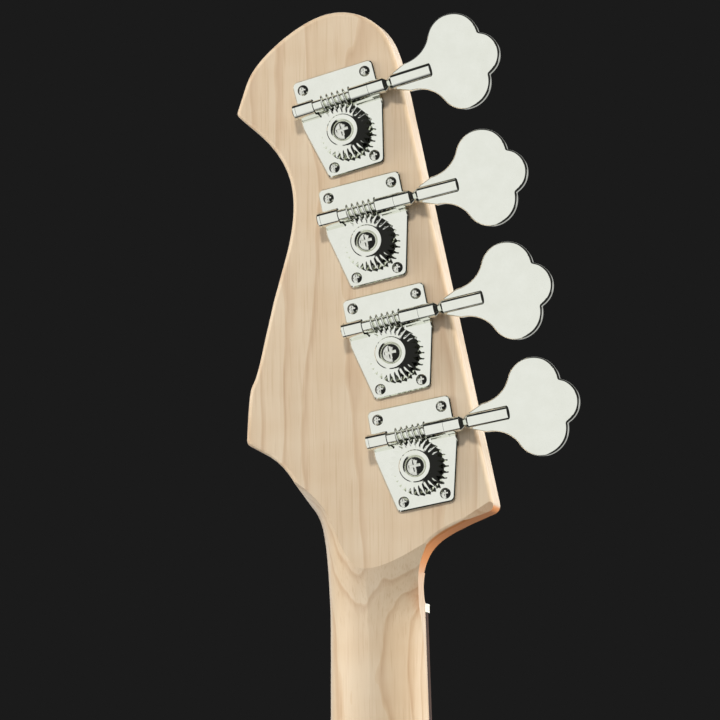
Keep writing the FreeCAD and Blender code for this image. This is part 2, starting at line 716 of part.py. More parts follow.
FRET_Z = [NUT_Z - SCALE_LENGTH * (1 - 2 ** (-n / 12)) for n in range(FRET_COUNT + 1)]
board = crowned(prism(polygon(tapered(HEEL_END, NUT_Z)), BOARD_TOP, GLUE), 0)
dots = []
for n in (3, 5, 7, 9, 12, 15, 17, 19):
    z = (FRET_Z[n] + FRET_Z[n - 1]) / 2
    for x in ((-half_width(z) / 2, half_width(z) / 2) if n == 12 else (0,)):
        deep = BOARD_TOP + DOT_DEPTH + crown(x)
        dots.append(board.common(rod(DOT_RADIUS, V(x, deep, z), V(x, BOARD_TOP - 2, z))))
        board = board.cut(rod(DOT_RADIUS, V(x, deep, z), V(x, BOARD_TOP - 2, z)))
    side = V(-half_width(z), GLUE - 1.9, z)
    pin = rod(SIDE_DOT_RADIUS, side + V(2, 0, 0), side + V(-3, 0, 0))
    dots.append(board.common(pin))
    board = board.cut(pin)
save("fingerboard", [board.cut([fret_slot(z) for z in FRET_Z[1:]])])
save("frets", [fret(z) for z in FRET_Z[1:]])
save("position_dots", dots)

# Nut: a white block across the end of the fingerboard with a slot for each string

def nut_place(i):
    x = (i - 1.5) * NUT_SPACING
    y = BOARD_TOP - FRET_HEIGHT - NUT_ACTION - STRINGS[i][1] / 2 + crown(x)
    return V(x, y, NUT_Z)


def saddle_place(i):
    """Where the middle of a string crosses the top of its saddle."""
    x = (i - 1.5) * BRIDGE_SPACING
    y = BOARD_TOP - FRET_HEIGHT - NUT_ACTION - SADDLE_RISE - STRINGS[i][1] / 2 + crown(x)
    return V(x, y, BRIDGE_LINE_Z - STRINGS[i][2])


def post_axis(i):
    return over_nut([POSTS[i][:2]])[0]


def wind_start(i):
    """The middle of the post at the level where a string first touches it."""
    low = HEAD_FRONT - BUSH_LIP - 1.0 - STRINGS[i][1] / 2
    return post_axis(i) + V(0, low, 0)


def head_run(i):
    """The corners of a string between the nut and the point where it meets its post."""
    thick = STRINGS[i][1]
    leave = nut_place(i) + V(0, 0, NUT_LENGTH)
    middle = wind_start(i)
    ring = POST_RADIUS + thick / 2 + SLIP
    corners = [leave]
    if i > 1:
        edge = TREE.z - TREE_RADIUS - thick / 2
        span = (edge - leave.z) / (middle.z - leave.z)
        under = HEAD_FRONT - TREE_DROP + thick / 2 + SLIP
        corners.append(V(leave.x + (middle.x + ring - leave.x) * span, under, edge))
    last = corners[-1]
    away = V(middle.x - last.x, 0, middle.z - last.z)
    lean = math.atan2(away.z, away.x) - math.asin(ring / away.Length)
    touch = middle + V(math.sin(lean), 0, -math.cos(lean)) * ring
    return corners, touch, lean - math.pi / 2, ring


def string_stops(i):
    name, thick, setback, halves = STRINGS[i]
    saddle = saddle_place(i)
    ball = V(saddle.x, BRIDGE_TOP - BALL_HEIGHT, BRIDGE_WALL_Z - BALL_RADIUS - SLIP)
    corners, touch, angle, ring = head_run(i)
    stops = bent([ball, saddle, nut_place(i), corners[0]], 1.2)[:-1]
    run = bent([nut_place(i)] + corners + [touch], 1.6)
    stops += run[1:-1]
    into = run[-1][1]
    stops.append((touch - into * 5, into))
    middle = wind_start(i)
    pitch = thick + WIND_GAP
    climb = pitch / (2 * math.pi * ring)
    for k in range(halves + 1):
        turn = angle + math.pi * k
        spot = middle + V(ring * math.cos(turn), -pitch * k / 2, ring * math.sin(turn))
        stops.append((spot, V(-math.sin(turn), -climb, math.cos(turn)).normalize()))
    turn = angle + math.pi * halves + math.pi / 2
    level = middle + RISE * (pitch * (halves / 2 + 0.25))
    out = V(math.cos(turn), 0, math.sin(turn))
    ahead = V(-math.sin(turn), 0, math.cos(turn))
    stops.append((level + out * ring, ahead))
    bend = POST_SLOT / 2 - thick / 2 - SLOT_TURN_GAP
    stops.append((level + out * (ring - bend) + ahead * bend, out * -1))
    stops.append((level + out * -3 + ahead * bend, out * -1))
    return stops, level, turn


strings = []
for i, (name, thick, setback, halves) in enumerate(STRINGS):
    stops, level, turn = string_stops(i)
    edges = path(stops)
    clear = least_gap(edges[-2 * halves - 5:], thick / 2, 6 * thick)
    print("string", name, "least gap of the winding to itself", round(clear, 3))
    ball = stops[0][0]
    anchor = rod(BALL_RADIUS, ball - V(BALL_HALF, 0, 0), ball + V(BALL_HALF, 0, 0))
    strings.append(tube(edges, thick / 2))
    save("string_" + name, [strings[-1].fuse(anchor)])

nut_wide = NUT_WIDTH / 2 - 0.1
nut = block(-nut_wide, nut_wide, BOARD_TOP - NUT_STAND - 1, GLUE, NUT_Z, NUT_Z + NUT_LENGTH)
nut = crowned(nut, NUT_STAND)
slots = []
for i, (name, thick, setback, halves) in enumerate(STRINGS):
    wide = thick / 2 + NUT_CLEAR
    place = nut_place(i)
    slots.append(rod(wide, place - V(0, 0, 2), place + V(0, 0, NUT_LENGTH + 2)))
    slots.append(block(place.x - wide * 0.8, place.x + wide * 0.8, BOARD_TOP - 9, place.y,
                       NUT_Z - 1, NUT_Z + NUT_LENGTH + 1))
save("nut", [nut.cut(slots)])

# String tree: a round disc on a stem that holds down the two thin strings, with its screw
tree = fuse([rod(TREE_STEM, TREE, TREE + RISE * (TREE_DROP + 0.5)),
             rod(TREE_RADIUS, TREE + RISE * TREE_DROP, TREE + RISE * (TREE_DROP + TREE_THICK))])
tree = tree.cut(rod(TREE_SHANK + SLIP, TREE + SINK, TREE + RISE * 20))
save("string_retainer", [tree])
tree_top = TREE + RISE * (TREE_DROP + TREE_THICK)
save("string_retainer_screw", [screw(tree_top, RISE, *TREE_HEAD, TREE_SHANK, TREE_SCREW)])

# Tuners, in the frame of one post: first axis along the key shaft, second to the tip, third out of the back

def gear_ring(level):
    lead = GEAR_PITCH / (2 * math.pi * WORM_RADIUS)
    twist = lead * (level - WORM_HEIGHT) / GEAR_RADIUS
    root = GEAR_RADIUS - GEAR_DEDENDUM
    tip = GEAR_RADIUS + GEAR_ADDENDUM
    root_half = (GEAR_TOOTH / 2 + GEAR_DEDENDUM * FLANK) / root
    tip_half = (GEAR_TOOTH / 2 - GEAR_ADDENDUM * FLANK) / tip
    points = []
    for k in range(GEAR_TEETH):
        middle = math.pi / 2 + twist + (k + 0.5) * 2 * math.pi / GEAR_TEETH
        for radius, off in ((root, -root_half), (tip, -tip_half), (tip, tip_half), (root, root_half)):
            points.append(V(radius * math.cos(middle + off), radius * math.sin(middle + off), level))
    return Part.makePolygon(points + points[:1])


def gear():
    """The gear: its upper face slopes from the boss to the teeth, and a dish in the boss takes the screw."""
    low = WORM_HEIGHT - GEAR_FACE / 2
    wide = GEAR_RADIUS + 2 * GEAR_ADDENDUM
    teeth = Part.makeLoft([gear_ring(low), gear_ring(GEAR_CONE_TOP)], True, True)
    blank = turned([(0, low), (wide, low), (wide, GEAR_RIM_TOP), (GEAR_BOSS, GEAR_CONE_TOP),
                    (0, GEAR_CONE_TOP)], V(0, 0, 0), V(0, 0, 1))
    boss = turned([(0, low), (GEAR_BOSS, low), (GEAR_BOSS, GEAR_BOSS_TOP - GEAR_BEVEL),
                   (GEAR_BOSS - GEAR_BEVEL, GEAR_BOSS_TOP), (0, GEAR_BOSS_TOP)], V(0, 0, 0), V(0, 0, 1))
    side = POST_SQUARE / 2 + SLIP / 2
    eye = block(-side, side, -side, side, 0, 20)
    dish = rod(GEAR_DISH, V(0, 0, GEAR_BOSS_TOP - GEAR_DISH_DEPTH), V(0, 0, 20))
    return teeth.common(blank).fuse(boss).cut([eye, dish])


def worm():
    """The worm along +Z: its cross-section turns with the helix, and a crest faces the gear's middle gap."""
    low, high = WORM_SPAN
    crest = WORM_RADIUS + WORM_ADDENDUM
    wind = 2 * math.pi / GEAR_PITCH
    flat_end = (WORM_THREAD / 2 - WORM_ADDENDUM * FLANK) * wind
    root_start = (WORM_THREAD / 2 + (WORM_RADIUS - WORM_ROOT) * FLANK) * wind
    points = []
    for k in range(24):
        off = -math.pi + math.pi * k / 12
        down = (abs(off) - flat_end) / (root_start - flat_end)
        radius = crest + (WORM_ROOT - crest) * min(max(down, 0), 1)
        turn = math.pi + wind * low + off
        points.append(V(radius * math.cos(turn), radius * math.sin(turn), low))
    guide = Part.makeHelix(GEAR_PITCH, high - low, 1.0)
    guide.translate(V(0, 0, low))
    shell = Part.BRepOffsetAPI.MakePipeShell(Part.Wire(line(V(0, 0, low), V(0, 0, high))))
    shell.setAuxiliarySpine(Part.Wire(guide.Edges), True, 0)
    shell.add(Part.Wire(spline(points, True)))
    shell.build()
    shell.makeSolid()
    return shell.shape()


def key_axis(a):
    return V(a, WORM_OFFSET, WORM_HEIGHT)


def leaf():
    fx, fy, fr = LEAF_FLARE
    lx, ly, lr = LEAF_LOBE
    tx, tr = LEAF_TIP
    gap = math.hypot(lx - fx, ly - fy)
    join = (fx + (lx - fx) * fr / gap, fy + (ly - fy) * fr / gap)
    # The notch between the side lobe and the end lobe is an arc that touches both
    span = math.hypot(tx - lx, ly)
    r1 = lr + LEAF_NOTCH
    r2 = tr + LEAF_NOTCH
    along = (r1 ** 2 - r2 ** 2 + span ** 2) / (2 * span)
    off = math.sqrt(r1 ** 2 - along ** 2)
    ux, uy = (tx - lx) / span, -ly / span
    nx, ny = lx + ux * along - uy * off, ly + uy * along + ux * off
    on_lobe = (lx + (nx - lx) * lr / r1, ly + (ny - ly) * lr / r1)
    on_tip = (tx + (nx - tx) * tr / r2, ny * tr / r2)
    mid = math.hypot((on_lobe[0] + on_tip[0]) / 2 - nx, (on_lobe[1] + on_tip[1]) / 2 - ny)
    dip = (nx + ((on_lobe[0] + on_tip[0]) / 2 - nx) * LEAF_NOTCH / mid,
           ny + ((on_lobe[1] + on_tip[1]) / 2 - ny) * LEAF_NOTCH / mid)
    foot = (fx, fy - fr)
    bow = math.radians(-58)
    upper = [
        ("line", LEAF_ROOT, foot),
        ("arc", foot, (fx + fr * math.cos(bow), fy + fr * math.sin(bow)), join),
        ("arc", join, (lx - lr * 0.30, ly + lr * math.sqrt(1 - 0.09)), on_lobe),
        ("arc", on_lobe, dip, on_tip),
    ]
    edges = []
    for side in (1, -1):
        for step in upper:
            points = [V(x, WORM_OFFSET + side * y, 0) for x, y in step[1:]]
            edges.append(line(*points) if step[0] == "line" else Part.Arc(*points).toShape())
    edges.append(Part.Arc(V(on_tip[0], WORM_OFFSET + on_tip[1], 0), V(tx + tr, WORM_OFFSET, 0),
                          V(on_tip[0], WORM_OFFSET - on_tip[1], 0)).toShape())
    root, half = LEAF_ROOT
    edges.append(line(V(root, WORM_OFFSET + half, 0), V(root, WORM_OFFSET - half, 0)))
    face = Part.Face(Part.Wire(Part.__sortEdges__(edges)))
    face.translate(V(0, 0, WORM_HEIGHT - LEAF_THICK / 2))
    solid = face.extrude(V(0, 0, LEAF_THICK))
    return solid.makeFillet(LEAF_EDGE, [e for e in solid.Edges if e.BoundBox.ZLength < 0.01])


def key():
    collar = RIGHT_EAR[1] + END_PLAY
    cap = LEFT_EAR[0] - END_PLAY
    profile = [
        (0, cap - 1.3), (EAR_RADIUS - 0.3, cap - 1.3), (EAR_RADIUS, cap - 1.0), (EAR_RADIUS, cap),
        (SHAFT_RADIUS, cap), (SHAFT_RADIUS, collar), (EAR_RADIUS, collar), (EAR_RADIUS, COLLAR_END),
        (SHAFT_RADIUS, COLLAR_END + COLLAR_CONE), (KEY_ROD_RADIUS, NECK_END),
        (KEY_ROD_RADIUS, KEY_ROD_END - 0.5), (KEY_ROD_RADIUS - 0.5, KEY_ROD_END), (0, KEY_ROD_END),
    ]
    shaft = turned(profile, V(0, 0, 0), V(0, 0, 1))
    low = rod(WORM_ROOT + 0.3, V(0, 0, LEFT_EAR[1] + END_PLAY), V(0, 0, WORM_SPAN[0] + 0.2))
    screwed = shaft.fuse(worm()).fuse(low)
    turn = FreeCAD.Placement(key_axis(0), FreeCAD.Rotation(V(0, 1, 0), V(0, 0, 1), V(1, 0, 0), "XYZ"))
    screwed.Placement = turn
    return screwed.fuse(leaf())


def tuner_plate():
    outline = [
        (-PLATE_HALF_TOP, PLATE_TOP), (PLATE_HALF_TOP, PLATE_TOP), (PLATE_HALF_TOP, PLATE_WAIST),
        (PLATE_HALF_BOTTOM, PLATE_BOTTOM), (-PLATE_HALF_BOTTOM, PLATE_BOTTOM), (-PLATE_HALF_TOP, PLATE_WAIST),
    ]
    face = Part.Face(Part.makePolygon([V(a, b, 0) for a, b in outline + outline[:1]]))
    base = face.extrude(V(0, 0, PLATE_THICK))
    base = base.makeFillet(PLATE_ROUND, [e for e in base.Edges if e.BoundBox.ZLength > 0.5])
    base = base.makeChamfer(PLATE_BEVEL, [e for e in base.Edges if e.BoundBox.ZMin > PLATE_THICK - 0.01])
    shapes = [base]
    for a0, a1 in (LEFT_EAR, RIGHT_EAR):
        shapes.append(rod(EAR_RADIUS, key_axis(a0), key_axis(a1)))
        shapes.append(Part.makeBox(a1 - a0, EAR_RADIUS * 1.7, WORM_HEIGHT - PLATE_THICK + 0.2,
                                   V(a0, WORM_OFFSET - EAR_RADIUS * 0.85, PLATE_THICK - 0.2)))
    cuts = [rod(SHAFT_RADIUS + RUN_FIT, key_axis(-30), key_axis(30))]
    # A shallow trough keeps the plate clear of the worm's crests
    trough = WORM_RADIUS + WORM_ADDENDUM + WORM_RELIEF
    cuts.append(rod(trough, key_axis(WORM_SPAN[0] - WORM_RELIEF), key_axis(RIGHT_EAR[0] - END_PLAY / 2)))
    cuts.append(rod(POST_JOURNAL + RUN_FIT, V(0, 0, -3), V(0, 0, 5)))
    cuts += [rod(PLATE_SHANK + PASS_HOLE, V(a, b, -3), V(a, b, 5)) for a, b in PLATE_HOLES]
    return fuse(shapes).cut(cuts)


def bushing():
    front = -HEAD_THICKNESS
    sleeve = turned([(POST_RADIUS + RUN_FIT, front - BUSH_LIP), (BUSH_FLANGE - 0.6, front - BUSH_LIP),
                     (BUSH_FLANGE, front - BUSH_LIP + 0.6), (BUSH_FLANGE, front), (BUSH_RADIUS, front),
                     (BUSH_RADIUS, front + BUSH_DEPTH), (POST_RADIUS + RUN_FIT, front + BUSH_DEPTH)],
                    V(0, 0, 0), V(0, 0, 1))
    return sleeve


def string_post(i):
    """The post: a slotted head on the playing side, a journal through the plate and a square for the gear."""
    front = -HEAD_THICKNESS - POST_HEIGHT
    waist = -HEAD_THICKNESS + BUSH_DEPTH - 1.0
    square = PLATE_THICK + 0.5
    body = turned([(0, front), (POST_HEAD - 0.7, front), (POST_HEAD, front + 0.7), (POST_HEAD, front + 2.2),
                   (POST_RADIUS, front + 3.4), (POST_RADIUS, waist), (POST_JOURNAL, waist + 0.5),
                   (POST_JOURNAL, square), (0, square)], V(0, 0, 0), V(0, 0, 1))
    side = POST_SQUARE / 2
    end = block(-side, side, -side, side, square - 0.5, GEAR_BOSS_TOP - GEAR_DISH_DEPTH - 0.5)
    whole = tuned(body.fuse(end), POSTS[i])
    thick = STRINGS[i][1]
    stops, level, turn = string_stops(i)
    half = POST_SLOT / 2
    depth = level.y + thick / 2 + 0.3
    slot = block(-20, 20, HEAD_FRONT - POST_HEIGHT - 2, depth, -half, half)
    slot.rotate(V(0, 0, 0), V(0, 1, 0), -math.degrees(turn))
    slot.translate(post_axis(i))
    bore = tuned(rod(GEAR_SHANK + SLIP, V(0, 0, waist), V(0, 0, 20)), POSTS[i])
    return whole.cut([slot, bore])


wheel = gear()
handle = key()
gear_screw = screw(V(0, 0, GEAR_BOSS_TOP - GEAR_DISH_DEPTH), V(0, 0, 1), *GEAR_HEAD, GEAR_SHANK, GEAR_SCREW)
for i, (name, thick, setback, halves) in enumerate(STRINGS):
    tuner = "tuner_" + name
    save(tuner + "_key", [tuned(handle, POSTS[i])])
    save(tuner + "_gear", [tuned(wheel, POSTS[i])])
    save(tuner + "_post", [string_post(i)])
    save(tuner + "_gear_screw", [tuned(gear_screw, POSTS[i])])
save("tuner_bushings", [tuned(bushing(), post) for post in POSTS])
save("tuner_plates", [tuned(tuner_plate(), post) for post in POSTS])
reach = PLATE_THICK + PLATE_SCREW - 0.3
plate_screws = [screw(V(a, b, PLATE_THICK), V(0, 0, 1), *PLATE_HEAD, PLATE_SHANK, reach)
                for a, b in PLATE_HOLES]
save("tuner_plate_screws", [tuned(fixing, post) for post in POSTS for fixing in plate_screws])
meet = handle.common(wheel).Volume
print("worm and gear share", round(meet, 4), "mm3, nearest", round(handle.distToShape(wheel)[0], 3))

# Bridge: a bent steel plate with four barrel saddles on long screws, each pushed forward by a spring

def barrel_middle(i):
    place = saddle_place(i)
    return V(place.x, place.y + STRINGS[i][1] / 2 - SADDLE_GROOVE + SADDLE_RADIUS, place.z)


BRIDGE_SCREWS = [(x, WALL_INNER + BRIDGE_SCREW_RISE) for x in BRIDGE_SCREW_X]
wall_top = BODY_FRONT - BRIDGE_WALL_TOP
bridge = fuse([block(-BRIDGE_HALF, BRIDGE_HALF, BRIDGE_TOP, BODY_FRONT, BRIDGE_WALL_Z, BRIDGE_FRONT_Z),
               block(-BRIDGE_HALF, BRIDGE_HALF, wall_top, BODY_FRONT, BRIDGE_WALL_Z, WALL_INNER)])
ends = [e for e in bridge.Edges if e.BoundBox.YLength > 1.5 and e.BoundBox.XLength < 0.01
        and e.BoundBox.ZLength < 0.01 and e.BoundBox.ZMin > BRIDGE_FRONT_Z - 1]
bridge = bridge.makeFillet(BRIDGE_CORNER, ends)
corners = [e for e in bridge.Edges if abs(e.BoundBox.YMin - wall_top) < 0.01
           and e.BoundBox.ZLength > 1 and e.BoundBox.YLength < 0.01]
bridge = bridge.makeFillet(BRIDGE_WALL_CORNER, corners)
cuts = [rod(BRIDGE_SHANK + PASS_HOLE, V(x, BODY_FRONT + 1, z), V(x, BRIDGE_TOP - 1, z))
        for x, z in BRIDGE_SCREWS]
springs = []
long_screws = []
for i, (name, thick, setback, halves) in enumerate(STRINGS):
    middle = barrel_middle(i)
    place = saddle_place(i)
    ball = string_stops(i)[0][0][0]
    rear = V(place - ball).normalize()
    front = V(nut_place(i) - place).normalize()
    beside = V(middle.x + INTONATION_SIDE, middle.y, 0)
    wall = beside + V(0, 0, BRIDGE_WALL_Z)
    spread = thick / 2 + 0.35
    cuts.append(rod(spread, ball, ball + rear * 12))
    cuts.append(rod(INTONATION_RADIUS + SLIP, wall - V(0, 0, 1), wall + V(0, 0, 5)))
    half = SADDLE_LENGTH / 2
    end = SADDLE_RADIUS - SADDLE_BEVEL
    edge = half - SADDLE_BEVEL
    barrel = turned([(0, -half), (end, -half), (SADDLE_RADIUS, -edge), (SADDLE_RADIUS, edge), (end, half),
                     (0, half)], middle, V(1, 0, 0))
    wide = thick / 2 + BEND_CLEAR
    grooves = [rod(wide, place, place + front * 9), rod(wide, place, place - rear * 9),
               Part.makeSphere(wide, place)]
    grooves.append(rod(INTONATION_RADIUS + RUN_FIT, beside + V(0, 0, place.z - 9),
                       beside + V(0, 0, place.z + 9)))
    pins = []
    for side in (-GRUB_PLACE, GRUB_PLACE):
        foot = V(middle.x + side, BRIDGE_TOP - SLIP, middle.z)
        top = V(middle.x + side, middle.y - SADDLE_RADIUS + 0.8, middle.z)
        grooves.append(rod(GRUB_RADIUS + SLIP / 2, foot + SINK, top + RISE * 3))
        slit = block(top.x - 0.2, top.x + 0.2, top.y - 1, top.y + 0.7, top.z - 3, top.z + 3)
        pins.append(rod(GRUB_RADIUS, foot, top).cut(slit))
    save("saddle_" + name, [barrel.cut(grooves)] + pins)
    reach = INTONATION_END - BRIDGE_WALL_Z
    long_screws.append(screw(wall, V(0, 0, -1), *INTONATION_HEAD, INTONATION_RADIUS, reach))
    # The spring is a steel wire wound in half turns between the wall and the saddle
    low = WALL_INNER + SPRING_WIRE + SLIP
    high = place.z - SADDLE_RADIUS - SPRING_WIRE - SLIP
    pitch = 2 * (high - low) / SPRING_HALF_TURNS
    climb = pitch / (2 * math.pi * SPRING_RADIUS)
    stops = []
    for k in range(SPRING_HALF_TURNS + 1):
        turn = math.pi * k
        spot = beside + V(SPRING_RADIUS * math.cos(turn), SPRING_RADIUS * math.sin(turn), low + pitch * k / 2)
        stops.append((spot, V(-math.sin(turn), math.cos(turn), climb).normalize()))
    stops.insert(0, (stops[0][0] - stops[0][1] * (2 * SPRING_WIRE), stops[0][1]))
    stops.append((stops[-1][0] + stops[-1][1] * (2 * SPRING_WIRE), stops[-1][1]))
    edges = path(stops)
    print("spring", name, "least gap to itself", round(least_gap(edges, SPRING_WIRE, 5), 3))
    springs.append(tube(edges, SPRING_WIRE))
save("bridge_plate", [bridge.cut(cuts)])
save("bridge_plate_screws", [screw(V(x, BRIDGE_TOP, z), RISE, *BRIDGE_HEAD, BRIDGE_SHANK, BRIDGE_SCREW)
                             for x, z in BRIDGE_SCREWS])
save("intonation_screws", long_screws)
save("intonation_springs", springs)

# Body: a solid wood slab with rounded edges, an arm bevel, a belly scoop, the neck pocket and the routs
foot_half = half_width(HEEL_END) + SEAT_GAP
mouth_half = half_width(HEEL_TOP) + SEAT_GAP
pocket = [(-foot_half, HEEL_END - SEAT_GAP), (foot_half, HEEL_END - SEAT_GAP),
          (mouth_half, HEEL_TOP + 30), (-mouth_half, HEEL_TOP + 30)]


def string_x(i, z):
    return saddle_place(i).x + (nut_place(i).x - saddle_place(i).x) * (z - BRIDGE_LINE_Z) / SCALE_LENGTH


PICKUPS = [((string_x(i, z) + string_x(j, z)) / 2, z, i, j) for i, j, z in PICKUP_LINES]
EAR_PLACES = [(x + side * (PICKUP_LENGTH / 2 + EAR_OFFSET), z) for x, z, i, j in PICKUPS for side in (-1, 1)]


def button_frames():
    x, z = HORN_BUTTON
    horn = (V(x, 0, HEEL_END + z), V(HORN_LEAN[0], 0, HORN_LEAN[1]).normalize())
    return [(V(0, 0, 0), V(0, 0, -1)), horn]


def arm_bevel():
    (x0, z0), (x1, z1) = ARM_LINE
    start = V(x0, BODY_FRONT + ARM_RADIUS, z0)
    end = V(x1, BODY_FRONT + ARM_RADIUS, z1)
    way = V(end - start).normalize()
    keep = rod(ARM_RADIUS, start - way * 60, end + way * 60)
    corner = polygon([(x0, z0), (x1, z1), (x1 - 120, z1), (x0 - 160, z0)])
    return prism(corner, BODY_FRONT - 5, BODY_FRONT + 40).cut(keep)


def capsule(radius, a, b, y0, y1):
    across = V(-(b[1] - a[1]), 0, b[0] - a[0]).normalize() * radius
    p, q = flat([a, b])
    middle = polygon([((p + across).x, (p + across).z), ((q + across).x, (q + across).z),
                      ((q - across).x, (q - across).z), ((p - across).x, (p - across).z)])
    caps = [rod(radius, p + V(0, y0, 0), p + V(0, y1, 0)), rod(radius, q + V(0, y0, 0), q + V(0, y1, 0))]
    return fuse([prism(middle, y0, y1)] + caps)


body = slab(BODY_OUTLINE, BODY_FRONT, BODY_BACK)
body = body.makeFillet(BODY_EDGE, [e for e in body.Edges if e.BoundBox.YLength < 0.01])
scoop_way = V(-1, -BELLY_SLOPE, 0).normalize()
scoop = V(BELLY_START[0], BODY_BACK + BELLY_RADIUS, BELLY_START[1])
cuts = [arm_bevel(), rod(BELLY_RADIUS, scoop - scoop_way * 20, scoop + scoop_way * 160)]
cuts.append(prism(polygon(pocket), BODY_FRONT - 5, HEEL_SEAT))
cuts.append(capsule(CONTROL_ROUND, VOLUME_PLACE, TONE_PLACE, BODY_FRONT - 5, BODY_FRONT + CONTROL_DEPTH))
cuts.append(capsule(JACK_ROUND, TONE_PLACE, JACK_PLACE, BODY_FRONT - 5, BODY_FRONT + CONTROL_DEPTH))
for x, z, i, j in PICKUPS:
    long = PICKUP_LENGTH / 2 + 1
    wide = PICKUP_WIDTH / 2 + ROUT_GAP
    cuts.append(block(x - long, x + long, BODY_FRONT - 5, BODY_FRONT + PICKUP_ROUT_DEPTH, z - wide, z + wide))
lead_start = V(PICKUPS[1][0] + PICKUP_LENGTH / 2 - 8, LEAD_LEVEL, PICKUPS[1][1] - 6)
lead_end = V(VOLUME_PLACE[0], LEAD_LEVEL, VOLUME_PLACE[1])
cuts.append(rod(LEAD_HOLE, lead_start, lead_end))
earth_start = V(18.0, BODY_FRONT - 1, BRIDGE_FRONT_Z - 12)
earth_end = V(TONE_PLACE[0], BODY_FRONT + 20, TONE_PLACE[1] - 12)
earth_way = V(earth_end - earth_start).normalize()
cuts.append(rod(EARTH_HOLE, earth_start, earth_end))
for x, z in NECK_SCREWS:
    cuts.append(rod(NECK_SCREW_RADIUS + PASS_HOLE, V(x, HEEL_SEAT - 2, z), V(x, BODY_BACK + 2, z)))
bite = BRIDGE_TOP + BRIDGE_SCREW + PILOT_SPARE
for x, z in BRIDGE_SCREWS:
    cuts.append(rod(BRIDGE_SHANK + SLIP, V(x, BODY_FRONT - 1, z), V(x, bite, z)))
bite = GUARD_TOP + GUARD_SCREW + PILOT_SPARE
for x, z in GUARD_SCREWS:
    cuts.append(rod(GUARD_SHANK + SLIP, V(x, BODY_FRONT - 1, z), V(x, bite, z)))
for x, z in EAR_PLACES:
    cuts.append(rod(PICKUP_SHANK + SLIP, V(x, BODY_FRONT - 1, z), V(x, GUARD_TOP + PICKUP_SCREW, z)))
for seat, out in button_frames():
    cuts.append(rod(BUTTON_SHANK + SLIP, seat + out * 4, seat - out * (BUTTON_SCREW - BUTTON_HEIGHT)))
    cuts.append(rod(BUTTON_BASE + 0.4, seat, seat + out * 12))
save("body", [body.cut(cuts)])

# Neck plate with its four long screws
px, pz = PLATE_SIZE
outside = BODY_BACK + NECK_PLATE_THICK
plate = block(-px / 2, px / 2, BODY_BACK, outside, NECK_PLATE_Z - pz / 2, NECK_PLATE_Z + pz / 2)
plate = plate.makeFillet(NECK_PLATE_CORNER, [e for e in plate.Edges if e.BoundBox.YLength > 1])
plate = plate.makeChamfer(NECK_PLATE_BEVEL, [e for e in plate.Edges if e.BoundBox.YMin > outside - 0.01])
holes = [rod(NECK_SCREW_RADIUS + PASS_HOLE, V(x, BODY_BACK - 1, z), V(x, outside + 1, z))
         for x, z in NECK_SCREWS]
save("neck_plate", [plate.cut(holes)])
neck_screw = (*NECK_SCREW_HEAD, NECK_SCREW_RADIUS, NECK_SCREW_LENGTH)
save("neck_plate_screws", [screw(V(x, outside, z), SINK, *neck_screw) for x, z in NECK_SCREWS])

# Strap buttons
hole = BUTTON_SHANK + 2 * SLIP
button = turned([(hole, 0), (BUTTON_BASE, 0), (BUTTON_WAIST, 6.5, BUTTON_WAIST + 0.4, 3.4),
                 (BUTTON_TOP - 0.6, 9.0), (BUTTON_TOP, 9.8), (BUTTON_TOP, BUTTON_HEIGHT - 1.5),
                 (BUTTON_TOP - 1.6, BUTTON_HEIGHT), (hole, BUTTON_HEIGHT)], V(0, 0, 0), V(0, 0, 1))
save("strap_buttons", [placed(button, seat, out) for seat, out in button_frames()])
button_screw = (*BUTTON_HEAD, BUTTON_SHANK, BUTTON_SCREW - 0.2)
save("strap_button_screws", [screw(seat + out * BUTTON_HEIGHT, out, *button_screw)
                             for seat, out in button_frames()])

# Pickguard on the body's face
guard = slab(GUARD_OUTLINE, GUARD_TOP, BODY_FRONT)
guard = guard.makeChamfer(GUARD_BEVEL, [e for e in guard.Edges if e.BoundBox.YMax < GUARD_TOP + 0.01])
cuts = [prism(polygon([(x * 1.01, z) for x, z in pocket]), GUARD_TOP - 1, BODY_FRONT + 1)]
for x, z, i, j in PICKUPS:
    long = PICKUP_LENGTH / 2 + PICKUP_GAP
    wide = PICKUP_WIDTH / 2 + PICKUP_GAP
    cuts.append(block(x - long, x + long, GUARD_TOP - 1, BODY_FRONT + 1, z - wide, z + wide))
for x, z in EAR_PLACES:
    cuts.append(rod(PICKUP_SHANK + PASS_HOLE, V(x, GUARD_TOP - 1, z), V(x, BODY_FRONT + 1, z)))
for x, z in GUARD_SCREWS:
    cuts.append(rod(GUARD_SHANK + PASS_HOLE, V(x, GUARD_TOP - 1, z), V(x, BODY_FRONT + 1, z)))
for (x, z), wide in ((VOLUME_PLACE, POT_BUSH), (TONE_PLACE, POT_BUSH), (JACK_PLACE, JACK_BUSH)):
    cuts.append(rod(wide + PASS_HOLE, V(x, GUARD_TOP - 1, z), V(x, BODY_FRONT + 1, z)))
save("pickguard", [guard.cut(cuts)])
save("pickguard_screws", [screw(V(x, GUARD_TOP, z), RISE, *GUARD_HEAD, GUARD_SHANK, GUARD_SCREW)
                          for x, z in GUARD_SCREWS])

